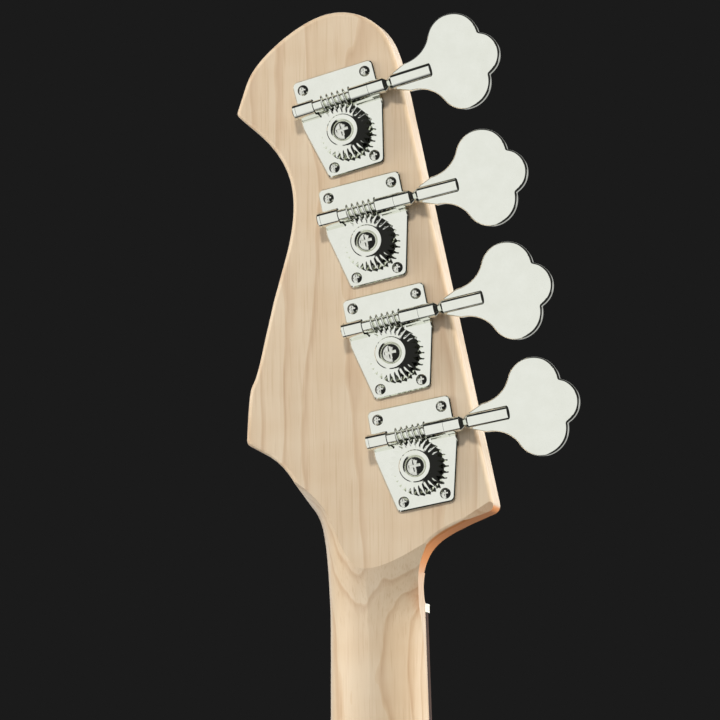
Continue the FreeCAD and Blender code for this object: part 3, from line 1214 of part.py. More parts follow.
# Split pickup: two moulded covers over two coils with four pole pieces each
covers = []
coils = []
poles = []
for x, z, i, j in PICKUPS:
    hx = PICKUP_LENGTH / 2
    hz = PICKUP_WIDTH / 2
    cover = block(x - hx, x + hx, COVER_TOP, COVER_FOOT, z - hz, z + hz)
    cover = cover.makeFillet(PICKUP_CORNER, [e for e in cover.Edges if e.BoundBox.YLength > 5])
    cover = cover.makeFillet(PICKUP_EDGE, [e for e in cover.Edges if e.BoundBox.YMax < COVER_TOP + 0.01])
    tabs = []
    for side in (-1, 1):
        ear = V(x + side * (hx + EAR_OFFSET), EAR_FOOT, z)
        tabs.append(rod(PICKUP_EAR, ear, ear + RISE * PICKUP_EAR_THICK))
    cover = fuse([cover] + tabs)
    hollow = block(x - hx + PICKUP_WALL, x + hx - PICKUP_WALL, COVER_TOP + PICKUP_WALL, COVER_FOOT + 1,
                   z - hz + PICKUP_WALL, z + hz - PICKUP_WALL)
    long = hx - COIL_INSET[0]
    wide = hz - COIL_INSET[1]
    coil = block(x - long, x + long, COVER_TOP + PICKUP_WALL + 0.3, COVER_FOOT, z - wide, z + wide)
    coil = coil.makeFillet(COIL_CORNER, [e for e in coil.Edges if e.BoundBox.YLength > 5])
    bores = []
    for s in (i, j):
        for side in (-POLE_SIDE, POLE_SIDE):
            px = string_x(s, z) + side
            bores.append(rod(POLE_RADIUS + SLIP, V(px, COVER_TOP - 1, z), V(px, COVER_FOOT + 2, z)))
            poles.append(rod(POLE_RADIUS, V(px, COVER_TOP - POLE_STAND, z), V(px, COVER_FOOT - POLE_RISE, z)))
    pilots = [rod(PICKUP_SHANK + PASS_HOLE, V(ex, GUARD_TOP + 1, ez), V(ex, GUARD_TOP - 5, ez))
              for ex, ez in EAR_PLACES]
    covers.append(cover.cut([hollow] + bores + pilots))
    coils.append(coil.cut(bores))
save("pickup_covers", covers)
save("pickup_coils", coils)
save("pickup_pole_pieces", poles)
ear_top = EAR_FOOT - PICKUP_EAR_THICK
save("pickup_screws", [screw(V(x, ear_top, z), RISE, *PICKUP_HEAD, PICKUP_SHANK, PICKUP_SCREW)
                       for x, z in EAR_PLACES])

# Volume and tone controls, and the output jack, hung under the pickguard
pots = []
rings = []
shaft_end = GUARD_TOP - POT_SHAFT_STAND
skirt = GUARD_TOP - POT_NUT_THICK - KNOB_GAP
top = skirt - KNOB_HEIGHT
for name, (x, z) in (("volume", VOLUME_PLACE), ("tone", TONE_PLACE)):
    spot = V(x, 0, z)
    can = turned([(0, POT_TOP), (POT_RADIUS - 0.8, POT_TOP), (POT_RADIUS, POT_TOP + 0.8),
                  (POT_RADIUS, POT_FOOT - 1), (POT_RADIUS - 1, POT_FOOT), (0, POT_FOOT)], spot, SINK)
    bush = rod(POT_BUSH, spot + SINK * (POT_TOP + 1), spot + SINK * (GUARD_TOP - POT_BUSH_STAND))
    rim = x + POT_RADIUS
    lugs = [block(rim - 1, rim + 5, LUG_LEVEL - LUG_THICK, LUG_LEVEL, z + k - 1, z + k + 1) for k in LUG_PLACES]
    mouth = GUARD_TOP - POT_BUSH_STAND - 1
    seat = rod(POT_SHAFT + RUN_FIT, spot + SINK * (POT_TOP + 5), spot + SINK * mouth)
    pots.append(fuse([can, bush] + lugs).cut(seat))
    shaft = rod(POT_SHAFT, spot + SINK * (POT_TOP + 4.9), spot + SINK * shaft_end)
    save(name + "_shaft", [shaft])
    knob = turned([(0, -skirt), (KNOB_RADIUS, -skirt), (KNOB_RADIUS, -top - 2),
                   (KNOB_RADIUS - 0.6, -top - 0.6), (KNOB_RADIUS - 2, -top, KNOB_RADIUS - 1.2, -top - 0.15),
                   (0, -top)], spot, RISE)
    ridges = []
    for k in range(KNOB_RIDGES):
        turn = 2 * math.pi * k / KNOB_RIDGES
        mark = spot + V(math.cos(turn), 0, math.sin(turn)) * (KNOB_RADIUS + RIDGE_OUT)
        ridges.append(rod(RIDGE_RADIUS, mark + SINK * (skirt + 1), mark + SINK * (top + 2.6)))
    eye = rod(POT_SHAFT + SLIP / 2, spot + SINK * (skirt + 1), spot + SINK * (shaft_end - 0.1))
    ceiling = GUARD_TOP - POT_BUSH_STAND - KNOB_ROOM
    under = rod(POT_NUT + KNOB_ROOM, spot + SINK * (skirt + 1), spot + SINK * ceiling)
    save(name + "_knob", [knob.cut(ridges + [eye, under])])
for (x, z), wide in ((VOLUME_PLACE, POT_BUSH), (TONE_PLACE, POT_BUSH), (JACK_PLACE, JACK_BUSH)):
    ring = placed(hexagon(POT_NUT, POT_NUT_THICK), V(x, GUARD_TOP, z), RISE)
    rings.append(ring.cut(rod(wide + SLIP, V(x, GUARD_TOP + 1, z), V(x, GUARD_TOP - 9, z))))
save("potentiometers", pots)
save("pot_nuts", rings)
mouth = GUARD_TOP - POT_NUT_THICK - JACK_STAND
jack_foot = mouth + JACK_DEPTH
x, z = JACK_PLACE
jack = turned([(JACK_BORE, mouth), (JACK_BUSH, mouth), (JACK_BUSH, POT_TOP), (JACK_FLANGE, POT_TOP),
               (JACK_FLANGE, jack_foot), (JACK_BORE, jack_foot)], V(x, 0, z), SINK)
blade_end = jack_foot + BLADE_LENGTH
near = z - BLADE_HALF
far = z + BLADE_HALF
blade = fuse([block(x + BLADE_OUT - BLADE_THICK, x + BLADE_OUT, jack_foot - 0.4, blade_end, near, far),
              block(x + BLADE_REACH, x + BLADE_OUT, blade_end - BLADE_THICK, blade_end, near, far)])
save("output_jack", [jack.fuse(blade)])

# Tone capacitor across the tone control, and the leads between pickups, controls, jack and bridge
tx, tz = TONE_PLACE
vx, vz = VOLUME_PLACE
cap_level = POT_FOOT + CAP_RADIUS + 0.3
save("tone_capacitor", [rod(CAP_RADIUS, V(tx - CAP_HALF, cap_level, tz), V(tx + CAP_HALF, cap_level, tz))])
solder = POT_RADIUS + 3
lug_level = LUG_LEVEL + LEAD_RADIUS + SLIP
coil_end = V(PICKUPS[1][0] + PICKUP_LENGTH / 2 - 9, COVER_FOOT + LEAD_RADIUS + 0.6, PICKUPS[1][1] - 5)
pickup_lead = [
    coil_end,
    lead_start + V(3.2, 0.4, -3.6),
    lead_end + V(-3.4, 0.4, 4.2),
    V(vx + 4, POT_FOOT + 2.4, vz + 3),
    V(vx + 9, POT_FOOT + 2.4, vz - 1),
]
tone_lead = [
    V(vx + solder, lug_level, vz + LUG_PLACES[0]),
    V(vx + solder, POT_FOOT + 6, vz - 9),
    V(tx + 13, POT_FOOT + 6, tz + 9),
    V(tx + solder, lug_level, tz + LUG_PLACES[2]),
]
jack_lead = [
    V(vx + solder, lug_level, vz + LUG_PLACES[1]),
    V(vx + 18.5, POT_FOOT + 10, vz - 4),
    V(x + 9.5, jack_foot + 8, z + 8),
    V(x + BLADE_OUT + LEAD_RADIUS + SLIP, jack_foot + 8, z),
]
leads = [tube(path(bent(run, 2.2)), LEAD_RADIUS) for run in (pickup_lead, tone_lead, jack_lead)]
under_plate = (BODY_FRONT + EARTH_WIRE + SLIP - earth_start.y) / earth_way.y
leads.append(rod(EARTH_WIRE, earth_start + earth_way * under_plate, earth_end))
save("wiring", leads)
print("all parts written")
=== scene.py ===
import math
import bmesh
import bpy
from mathutils import Matrix, Vector


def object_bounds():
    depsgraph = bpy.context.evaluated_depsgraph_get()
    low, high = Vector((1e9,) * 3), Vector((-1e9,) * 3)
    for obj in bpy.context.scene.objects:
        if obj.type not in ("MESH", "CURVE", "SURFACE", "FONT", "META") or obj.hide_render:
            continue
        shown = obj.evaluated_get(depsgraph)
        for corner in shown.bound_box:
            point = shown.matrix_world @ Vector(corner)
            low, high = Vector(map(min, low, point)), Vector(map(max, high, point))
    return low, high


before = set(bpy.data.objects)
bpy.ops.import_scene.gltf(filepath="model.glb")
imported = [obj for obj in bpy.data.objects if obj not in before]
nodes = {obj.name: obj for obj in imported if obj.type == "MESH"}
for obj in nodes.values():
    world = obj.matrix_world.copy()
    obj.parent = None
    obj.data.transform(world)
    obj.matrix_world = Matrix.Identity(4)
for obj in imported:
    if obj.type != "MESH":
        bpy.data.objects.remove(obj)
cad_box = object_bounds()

strings = ("e", "a", "d", "g")


# Neck: one length of flat-sawn hard maple with the headstock in one piece, shaped, sanded and rubbed with
# a thin satin finish. It shows pale straight grain with fine brown flecks, a faint shimmer across the
# grain, and a soft broad sheen.

def linear(code):
    """An sRGB hex colour as linear red, green, blue and alpha."""
    parts = [int(code[i:i + 2], 16) / 255 for i in (1, 3, 5)]
    return [c / 12.92 if c <= 0.04045 else ((c + 0.055) / 1.055) ** 2.4 for c in parts] + [1]


def add(tree, kind, links=None, **settings):
    """A new node: links fills its inputs with other nodes' outputs or plain values, settings its options."""
    made = tree.nodes.new("ShaderNode" + kind)
    for name, value in settings.items():
        setattr(made, name, value)
    for name, value in (links or {}).items():
        if isinstance(value, bpy.types.NodeSocket):
            tree.links.new(value, made.inputs[name])
        else:
            made.inputs[name].default_value = value
    return made


def finish(name, **values):
    """A new material, its tree, its shader with its uniform values, and the piece's own place in metres."""
    made = bpy.data.materials.new(name)
    made.use_nodes = True
    tree = made.node_tree
    shader = tree.nodes["Principled BSDF"]
    for key, value in values.items():
        shader.inputs[key.replace("_", " ")].default_value = value
    place = add(tree, "TexCoord").outputs["Object"]
    return made, tree, shader, place


def steps(ramp, stops):
    """Sets a colour ramp's stops from (position, hex colour) pairs."""
    band = ramp.color_ramp
    while len(band.elements) < len(stops):
        band.elements.new(0.5)
    for element, (position, code) in zip(band.elements, stops):
        element.position = position
        element.color = linear(code)


def dress(material, *names):
    """Gives the named pieces this material alone."""
    for name in names:
        nodes[name].data.materials.clear()
        nodes[name].data.materials.append(material)


maple, tree, shader, place = finish("satin_maple", IOR=1.5, Coat_Roughness=0.25, Coat_IOR=1.5,
                                    Sheen_Roughness=0.4)
# Growth rings show as bands about 7 mm wide along the neck, bent by the tree's own wander
along = add(tree, "Mapping", {"Vector": place, "Scale": (1, 0.55, 0.055)}).outputs[0]
wander = add(tree, "TexNoise", {"Vector": along, "Scale": 24.0, "Detail": 3.0}).outputs["Fac"]
along = add(tree, "Mapping", {"Vector": place, "Scale": (1, 0.8, 0.035)}).outputs[0]
bands = add(tree, "TexNoise", {"Vector": along, "Scale": 140.0, "Detail": 5.0, "Roughness": 0.62,
                               "Distortion": 0.4}).outputs["Fac"]
# Vessel flecks are 0.3 mm wide and a few millimetres long, drawn a little coarser so that they show
along = add(tree, "Mapping", {"Vector": place, "Scale": (1, 1, 0.03)}).outputs[0]
flecks = add(tree, "TexNoise", {"Vector": along, "Scale": 1500.0, "Detail": 2.0}).outputs["Fac"]
# The shimmer is a soft mottle across the grain, 10 to 15 mm wide
across = add(tree, "Mapping", {"Vector": place, "Scale": (0.5, 0.5, 1)}).outputs[0]
mottle = add(tree, "TexNoise", {"Vector": across, "Scale": 75.0, "Detail": 2.0}).outputs["Fac"]
rings = add(tree, "ValToRGB", {"Fac": bands})
steps(rings, [(0.30, "#C6AE90"), (0.46, "#D0BB9E"), (0.60, "#D5C2A7"), (0.74, "#CCB495")])
tint = add(tree, "ValToRGB", {"Fac": wander})
steps(tint, [(0.30, "#D1B99A"), (0.70, "#DCCAB0")])
wood = add(tree, "MixRGB", {"Fac": 0.45, "Color1": rings.outputs["Color"], "Color2": tint.outputs["Color"]})
speck = add(tree, "ValToRGB", {"Fac": flecks})
steps(speck, [(0.30, "#E6D9CC"), (0.46, "#FFFFFF")])
wood = add(tree, "MixRGB", {"Fac": 0.4, "Color1": wood.outputs[0], "Color2": speck.outputs["Color"]},
           blend_type="MULTIPLY")
# Each ring ends in a thin wavy brown line: the tree's middle lay some 90 mm before the neck
trunk = add(tree, "Mapping", {"Vector": place, "Location": (0.012, 0.090, 0), "Scale": (1, 1, 0.22)})
year = add(tree, "TexWave", {"Vector": trunk.outputs[0], "Scale": 75.0, "Distortion": 8.0, "Detail": 3.0,
                             "Detail Scale": 0.55, "Detail Roughness": 0.5},
           wave_type="RINGS", rings_direction="Z", wave_profile="SAW")
late = add(tree, "ValToRGB", {"Fac": year.outputs["Fac"]})
steps(late, [(0.0, "#FFFFFF"), (0.70, "#FAF3EB"), (0.92, "#D2B396"), (1.0, "#F6ECE0")])
wood = add(tree, "MixRGB", {"Fac": 0.42, "Color1": wood.outputs[0], "Color2": late.outputs["Color"]},
           blend_type="MULTIPLY")
shade = add(tree, "ValToRGB", {"Fac": mottle})
steps(shade, [(0.32, "#F1E6D8"), (0.68, "#FFFFFF")])
wood = add(tree, "MixRGB", {"Fac": 0.35, "Color1": wood.outputs[0], "Color2": shade.outputs["Color"]},
           blend_type="MULTIPLY")
# The grain ends in the shoulder under the keys, which drinks the finish and turns dull. Faces turned down
# and towards the key side are coloured orange-brown: partly the end grain, partly painted shade where that
# side lies in shadow.
normal = add(tree, "TexCoord").outputs["Normal"]
shoulder = (-0.45, 0, -0.893)
facing = add(tree, "VectorMath", {0: normal, 1: shoulder}, operation="DOT_PRODUCT")
shade_and_end_grain = add(tree, "MapRange", {"Value": facing.outputs["Value"], "From Min": 0.48, "From Max": 0.80},
                interpolation_type="SMOOTHSTEP").outputs[0]
wood = add(tree, "MixRGB", {"Fac": shade_and_end_grain, "Color1": wood.outputs[0], "Color2": linear("#C48250")})
tree.links.new(wood.outputs[0], shader.inputs["Base Color"])
# The same mask of painted shade and end grain also thins the coat and sheen and roughens the finish there
for socket, most in (("Coat Weight", 0.6), ("Sheen Weight", 0.2)):
    left = add(tree, "MapRange", {"Value": shade_and_end_grain, "To Min": most, "To Max": 0.0}).outputs[0]
    tree.links.new(left, shader.inputs[socket])
sheen = add(tree, "MapRange", {"Value": bands, "From Min": 0.3, "From Max": 0.7,
                               "To Min": 0.40, "To Max": 0.30})
dull = add(tree, "Math", {0: shade_and_end_grain, 1: 0.35, 2: sheen.outputs[0]}, operation="MULTIPLY_ADD")
tree.links.new(dull.outputs[0], shader.inputs["Roughness"])
relief = add(tree, "Bump", {"Height": flecks, "Strength": 0.08, "Distance": 0.0002})
tree.links.new(relief.outputs[0], shader.inputs["Normal"])
dress(maple, "neck")


# Truss rod: a steel rod let into the neck under the fingerboard, with a hexagon-socket nut at the headstock
# end. Drawn steel with a dull grey skin and faint draw lines.

steel, tree, shader, place = finish("drawn_steel", Metallic=1.0)
along = add(tree, "Mapping", {"Vector": place, "Scale": (1, 1, 0.04)}).outputs[0]
lines = add(tree, "TexNoise", {"Vector": along, "Scale": 2400.0, "Detail": 3.0}).outputs["Fac"]
grey = add(tree, "ValToRGB", {"Fac": lines})
steps(grey, [(0.3, "#A3A4A4"), (0.7, "#C4C4C1")])
tree.links.new(grey.outputs["Color"], shader.inputs["Base Color"])
rough = add(tree, "MapRange", {"Value": lines, "From Min": 0.3, "From Max": 0.7,
                               "To Min": 0.26, "To Max": 0.40})
tree.links.new(rough.outputs[0], shader.inputs["Roughness"])
dress(steel, "truss_rod", "truss_rod_nut")


# Fingerboard: a slab of rosewood glued on the neck, crowned and oiled. Dark brown with black streaks and
# open pores along the neck.

rosewood, tree, shader, place = finish("oiled_rosewood", IOR=1.48)
along = add(tree, "Mapping", {"Vector": place, "Scale": (1, 1, 0.03)}).outputs[0]
streaks = add(tree, "TexNoise", {"Vector": along, "Scale": 260.0, "Detail": 6.0, "Roughness": 0.6,
                                 "Distortion": 0.3}).outputs["Fac"]
along = add(tree, "Mapping", {"Vector": place, "Scale": (1, 1, 0.05)}).outputs[0]
pores = add(tree, "TexNoise", {"Vector": along, "Scale": 1800.0, "Detail": 2.0}).outputs["Fac"]
brown = add(tree, "ValToRGB", {"Fac": streaks})
steps(brown, [(0.30, "#20120E"), (0.47, "#352017"), (0.60, "#442B1E"), (0.72, "#2C1913")])
open_pores = add(tree, "ValToRGB", {"Fac": pores})
steps(open_pores, [(0.34, "#5B4A42"), (0.46, "#FFFFFF")])
dark = add(tree, "MixRGB", {"Fac": 0.85, "Color1": brown.outputs["Color"],
                            "Color2": open_pores.outputs["Color"]}, blend_type="MULTIPLY")
tree.links.new(dark.outputs[0], shader.inputs["Base Color"])
dull = add(tree, "MapRange", {"Value": streaks, "From Min": 0.3, "From Max": 0.7,
                              "To Min": 0.52, "To Max": 0.40})
tree.links.new(dull.outputs[0], shader.inputs["Roughness"])
grooves = add(tree, "Bump", {"Height": pores, "Strength": 0.25, "Distance": 0.0002})
tree.links.new(grooves.outputs[0], shader.inputs["Normal"])
dress(rosewood, "fingerboard")


# Frets: nickel-silver wire hammered into slots, levelled and polished along its length. A warm grey metal
# with fine polishing lines.

fret_wire, tree, shader, place = finish("polished_nickel_silver", Metallic=1.0)
across = add(tree, "Mapping", {"Vector": place, "Scale": (0.05, 1, 1)}).outputs[0]
polish = add(tree, "TexNoise", {"Vector": across, "Scale": 2600.0, "Detail": 2.0}).outputs["Fac"]
warm = add(tree, "ValToRGB", {"Fac": polish})
steps(warm, [(0.3, "#C9C5B8"), (0.7, "#DDDACE")])
tree.links.new(warm.outputs["Color"], shader.inputs["Base Color"])
rough = add(tree, "MapRange", {"Value": polish, "From Min": 0.3, "From Max": 0.7,
                               "To Min": 0.12, "To Max": 0.24})
tree.links.new(rough.outputs[0], shader.inputs["Roughness"])
dress(fret_wire, "frets")


# Position dots: discs of pearly plastic glued into the fingerboard and ground flush. Milky, with cloudy
# swirls a few millimetres across.

pearl, tree, shader, place = finish("pearl_plastic", Roughness=0.22, IOR=1.53)
cloud = add(tree, "TexNoise", {"Vector": place, "Scale": 380.0, "Detail": 3.0, "Distortion": 1.2})
milk = add(tree, "ValToRGB", {"Fac": cloud.outputs["Fac"]})
steps(milk, [(0.30, "#CFCBC2"), (0.50, "#E9E6DE"), (0.68, "#D9D9D6")])
tree.links.new(milk.outputs["Color"], shader.inputs["Base Color"])
dress(pearl, "position_dots")


# Nut: a block of bleached bone across the end of the fingerboard, slotted for the strings and buffed.
# Ivory white with faint streaks.

bone, tree, shader, place = finish("buffed_bone", Roughness=0.3, IOR=1.54, Subsurface_Weight=0.15,
                                   Subsurface_Radius=(0.002, 0.0015, 0.001), Subsurface_Scale=1.0)
across = add(tree, "Mapping", {"Vector": place, "Scale": (0.15, 1, 1)}).outputs[0]
fibre = add(tree, "TexNoise", {"Vector": across, "Scale": 1200.0, "Detail": 3.0}).outputs["Fac"]
ivory = add(tree, "ValToRGB", {"Fac": fibre})
steps(ivory, [(0.32, "#DDD6C4"), (0.62, "#EFEADD")])
tree.links.new(ivory.outputs["Color"], shader.inputs["Base Color"])
dress(bone, "nut")


# Tuners: stamped steel plates screwed to the back of the headstock carry an open worm and gear each. All of
# it is nickel-chrome plated: bright, neutral, a little hazy, with the slight waviness of polished sheet.

chrome, tree, shader, place = finish("chrome_plate", Metallic=1.0)
haze = add(tree, "TexNoise", {"Vector": place, "Scale": 160.0, "Detail": 4.0,
                              "Roughness": 0.6}).outputs["Fac"]
bright = add(tree, "ValToRGB", {"Fac": haze})
steps(bright, [(0.3, "#EFF1E8"), (0.7, "#F4F6EE")])
tree.links.new(bright.outputs["Color"], shader.inputs["Base Color"])
rough = add(tree, "MapRange", {"Value": haze, "From Min": 0.3, "From Max": 0.75,
                               "To Min": 0.03, "To Max": 0.07})
tree.links.new(rough.outputs[0], shader.inputs["Roughness"])
dress(chrome, "tuner_plates", "tuner_bushings")
for name in strings:
    dress(chrome, "tuner_%s_key" % name, "tuner_%s_post" % name)
# The hob that cuts a gear's teeth also leaves grooves in its sloped face: none at the boss, and full ones
# near the rim. Lean is each tuner's angle on the headstock, and twist sets the grooves between the teeth
teeth, twist = 28.0, -0.62
groove_start, groove_full, groove_depth = 0.0072, 0.0086, 0.00025
for name, lean in zip(strings, (9.5, 10.65, 11.13, 13.79)):
    wheel = nodes["tuner_%s_gear" % name]
    middle = sum((Vector(corner) for corner in wheel.bound_box), Vector()) / 8
    hobbed = chrome.copy()
    hobbed.name = "chrome_plate_hobbed_" + name
    tree = hobbed.node_tree
    spot = add(tree, "VectorMath", {0: add(tree, "TexCoord").outputs["Object"], 1: middle},
               operation="SUBTRACT").outputs[0]
    tilt = math.radians(lean)
    ways = [add(tree, "VectorMath", {0: spot, 1: way}, operation="DOT_PRODUCT").outputs["Value"]
            for way in ((math.sin(tilt), 0, math.cos(tilt)), (-math.cos(tilt), 0, math.sin(tilt)))]
    turn = add(tree, "Math", {0: ways[0], 1: ways[1]}, operation="ARCTAN2").outputs[0]
    pitch = add(tree, "Math", {0: turn, 1: teeth, 2: twist}, operation="MULTIPLY_ADD").outputs[0]
    comb = add(tree, "Math", {0: pitch}, operation="COSINE").outputs[0]
    flat = add(tree, "VectorMath", {0: spot, 1: (1, 0, 1)}, operation="MULTIPLY").outputs[0]
    reach = add(tree, "VectorMath", {0: flat}, operation="LENGTH").outputs["Value"]
    grow = add(tree, "MapRange", {"Value": reach, "From Min": groove_start, "From Max": groove_full})
    depth = add(tree, "Math", {0: comb, 1: grow.outputs[0]}, operation="MULTIPLY").outputs[0]
    grooves = add(tree, "Bump", {"Height": depth, "Strength": 0.35, "Distance": groove_depth}, invert=True)
    tree.links.new(grooves.outputs[0], tree.nodes["Principled BSDF"].inputs["Normal"])
    dress(hobbed, wheel.name)


# Screws: plated steel with pressed cross recesses. Slightly duller than the plates, with grime in the
# recess.

screw_plate, tree, shader, place = finish("plated_screw_steel", Metallic=1.0)
grime = add(tree, "TexNoise", {"Vector": place, "Scale": 700.0, "Detail": 4.0}).outputs["Fac"]
plated = add(tree, "ValToRGB", {"Fac": grime})
steps(plated, [(0.3, "#DADBD3"), (0.6, "#EBECE4")])
tree.links.new(plated.outputs["Color"], shader.inputs["Base Color"])
rough = add(tree, "MapRange", {"Value": grime, "From Min": 0.3, "From Max": 0.7,
                               "To Min": 0.16, "To Max": 0.07})
tree.links.new(rough.outputs[0], shader.inputs["Roughness"])
dress(screw_plate, "tuner_plate_screws", "string_retainer_screw", "neck_plate_screws",
      "bridge_plate_screws", "intonation_screws", "pickguard_screws", "pickup_screws",
      "strap_button_screws", *["tuner_%s_gear_screw" % name for name in strings])


# String retainer: a turned and plated steel button on the headstock's front that holds down two strings.

dress(chrome, "string_retainer")


# Body: alder sprayed with a three-colour burst under clear gloss lacquer, then buffed. Amber in the middle,
# red-brown further out and almost black at the rim, with the wood's grain showing through the amber.

burst, tree, shader, place = finish("burst_lacquer", Roughness=0.32, IOR=1.5, Coat_Weight=1.0,
                                    Coat_Roughness=0.04, Coat_IOR=1.52)
along = add(tree, "Mapping", {"Vector": place, "Scale": (1, 0.6, 0.06)}).outputs[0]
grain = add(tree, "TexNoise", {"Vector": along, "Scale": 150.0, "Detail": 5.0, "Roughness": 0.6,
                               "Distortion": 0.6}).outputs["Fac"]
# The sprayed centre is three soft ovals, in the tail, at the waist and towards the neck, in metres
edge, overlap = None, 0.25
for x, z, wide, tall in ((0.0, 0.135, 0.150, 0.118), (-0.004, 0.235, 0.108, 0.140),
                         (-0.006, 0.325, 0.118, 0.150)):
    offset = add(tree, "VectorMath", {0: place, 1: (x, 0, z)}, operation="SUBTRACT").outputs[0]
    share = add(tree, "VectorMath", {0: offset, 1: (1 / wide, 0, 1 / tall)}, operation="MULTIPLY")
    oval = add(tree, "VectorMath", {0: share.outputs[0]}, operation="LENGTH").outputs["Value"]
    if edge is None:
        edge = oval
    else:
        edge = add(tree, "Math", {0: edge, 1: oval, 2: overlap}, operation="SMOOTH_MIN").outputs[0]
mist = add(tree, "TexNoise", {"Vector": place, "Scale": 45.0, "Detail": 2.0}).outputs["Fac"]
drift = add(tree, "Math", {0: mist, 1: 0.10, 2: -0.05}, operation="MULTIPLY_ADD").outputs[0]
edge = add(tree, "Math", {0: edge, 1: drift}, operation="ADD").outputs[0]
# The sides are sprayed dark right round
normal = add(tree, "SeparateXYZ", {0: add(tree, "TexCoord").outputs["Normal"]}).outputs["Y"]
level = add(tree, "Math", {0: normal}, operation="ABSOLUTE").outputs[0]
side = add(tree, "MapRange", {"Value": level, "From Min": 0.50, "From Max": 0.88,
                              "To Min": 0.6, "To Max": 0.0}, interpolation_type="SMOOTHSTEP").outputs[0]
edge = add(tree, "Math", {0: edge, 1: side}, operation="ADD").outputs[0]
spray = add(tree, "ValToRGB", {"Fac": edge})
steps(spray, [(0.20, "#D08A35"), (0.52, "#B8651F"), (0.74, "#6E2512"), (0.90, "#22100B"), (1.0, "#120B09")])
figure = add(tree, "ValToRGB", {"Fac": grain})
steps(figure, [(0.32, "#B98F66"), (0.62, "#FFFFFF")])
lacquer = add(tree, "MixRGB", {"Fac": 0.55, "Color1": spray.outputs["Color"],
                               "Color2": figure.outputs["Color"]}, blend_type="MULTIPLY")
tree.links.new(lacquer.outputs[0], shader.inputs["Base Color"])
peel = add(tree, "TexNoise", {"Vector": place, "Scale": 420.0, "Detail": 1.0}).outputs["Fac"]
gloss = add(tree, "Bump", {"Height": peel, "Strength": 0.03, "Distance": 0.0004})
tree.links.new(gloss.outputs[0], shader.inputs["Coat Normal"])
dress(burst, "body")


# Neck plate and strap buttons: steel, plated like the tuners and held by long screws.

dress(chrome, "neck_plate", "strap_buttons")


# Bridge: a bent and plated steel plate with four turned barrel saddles, each on a screw with a plain
# spring. Plated like the tuners.

dress(chrome, "bridge_plate", *["saddle_%s" % name for name in strings])
dress(steel, "intonation_springs")


# Pickguard: layered celluloid sheet, brown shell over white, black and white plies, bevelled at 45 degrees
# so that the plies show along the edge, and polished.

shell, tree, shader, place = finish("shell_celluloid", Roughness=0.16, IOR=1.5, Coat_Weight=0.4,
                                    Coat_Roughness=0.05)
blotch = add(tree, "TexNoise", {"Vector": place, "Scale": 62.0, "Detail": 3.0, "Distortion": 1.6})
swirl = add(tree, "TexNoise", {"Vector": place, "Scale": 150.0, "Detail": 4.0, "Distortion": 2.2})
mixed = add(tree, "Math", {0: swirl.outputs["Fac"], 1: 0.45, 2: blotch.outputs["Fac"]},
            operation="MULTIPLY_ADD").outputs[0]
shell_colour = add(tree, "ValToRGB", {"Fac": mixed})
steps(shell_colour, [(0.56, "#190A08"), (0.68, "#3B120C"), (0.79, "#6B2413"), (0.92, "#94411C")])
# The shell is the front third of the sheet, and the other plies lie between it and the body
front_face, back_face, shell_share = -0.0244, -0.0220, 0.34
height = add(tree, "SeparateXYZ", {0: place}).outputs["Y"]
plies = add(tree, "MapRange", {"Value": height, "From Min": front_face, "From Max": back_face}).outputs[0]
under = add(tree, "ValToRGB", {"Fac": plies})
steps(under, [(0.0, "#E8E4D8"), (0.55, "#191919"), (0.78, "#E2DED2")])
under.color_ramp.interpolation = "CONSTANT"
is_under = add(tree, "Math", {0: plies, 1: shell_share}, operation="GREATER_THAN").outputs[0]
sheet = add(tree, "MixRGB", {"Fac": is_under, "Color1": shell_colour.outputs["Color"],
                             "Color2": under.outputs["Color"]})
tree.links.new(sheet.outputs[0], shader.inputs["Base Color"])
dress(shell, "pickguard")


# Pickups: two black ABS covers, moulded with a fine spark texture, over copper coils with steel pole
# pieces. Two screws hold each to the body.

black, tree, shader, place = finish("moulded_black_abs", IOR=1.53)
spark = add(tree, "TexNoise", {"Vector": place, "Scale": 1600.0, "Detail": 2.0}).outputs["Fac"]
tone = add(tree, "ValToRGB", {"Fac": spark})
steps(tone, [(0.3, "#161616"), (0.7, "#212122")])
tree.links.new(tone.outputs["Color"], shader.inputs["Base Color"])
rough = add(tree, "MapRange", {"Value": spark, "From Min": 0.3, "From Max": 0.7,
                               "To Min": 0.36, "To Max": 0.50})
tree.links.new(rough.outputs[0], shader.inputs["Roughness"])
fine = add(tree, "Bump", {"Height": spark, "Strength": 0.12, "Distance": 0.0002})
tree.links.new(fine.outputs[0], shader.inputs["Normal"])
dress(black, "pickup_covers")
copper, tree, shader, place = finish("enamelled_copper_wire", Metallic=1.0, Roughness=0.3)
turns = add(tree, "TexWave", {"Vector": place, "Scale": 900.0, "Distortion": 0.6}, bands_direction="Y")
# Painted shade and highlight: the colour darkens between the turns of wire and brightens along each turn
wire = add(tree, "ValToRGB", {"Fac": turns.outputs["Fac"]})
steps(wire, [(0.2, "#5E2412"), (0.8, "#A4512A")])
tree.links.new(wire.outputs["Color"], shader.inputs["Base Color"])
dress(copper, "pickup_coils")
dress(steel, "pickup_pole_pieces")


# Controls: knurled and plated brass knobs on potentiometers under the pickguard, and an open jack held by
# its nut.

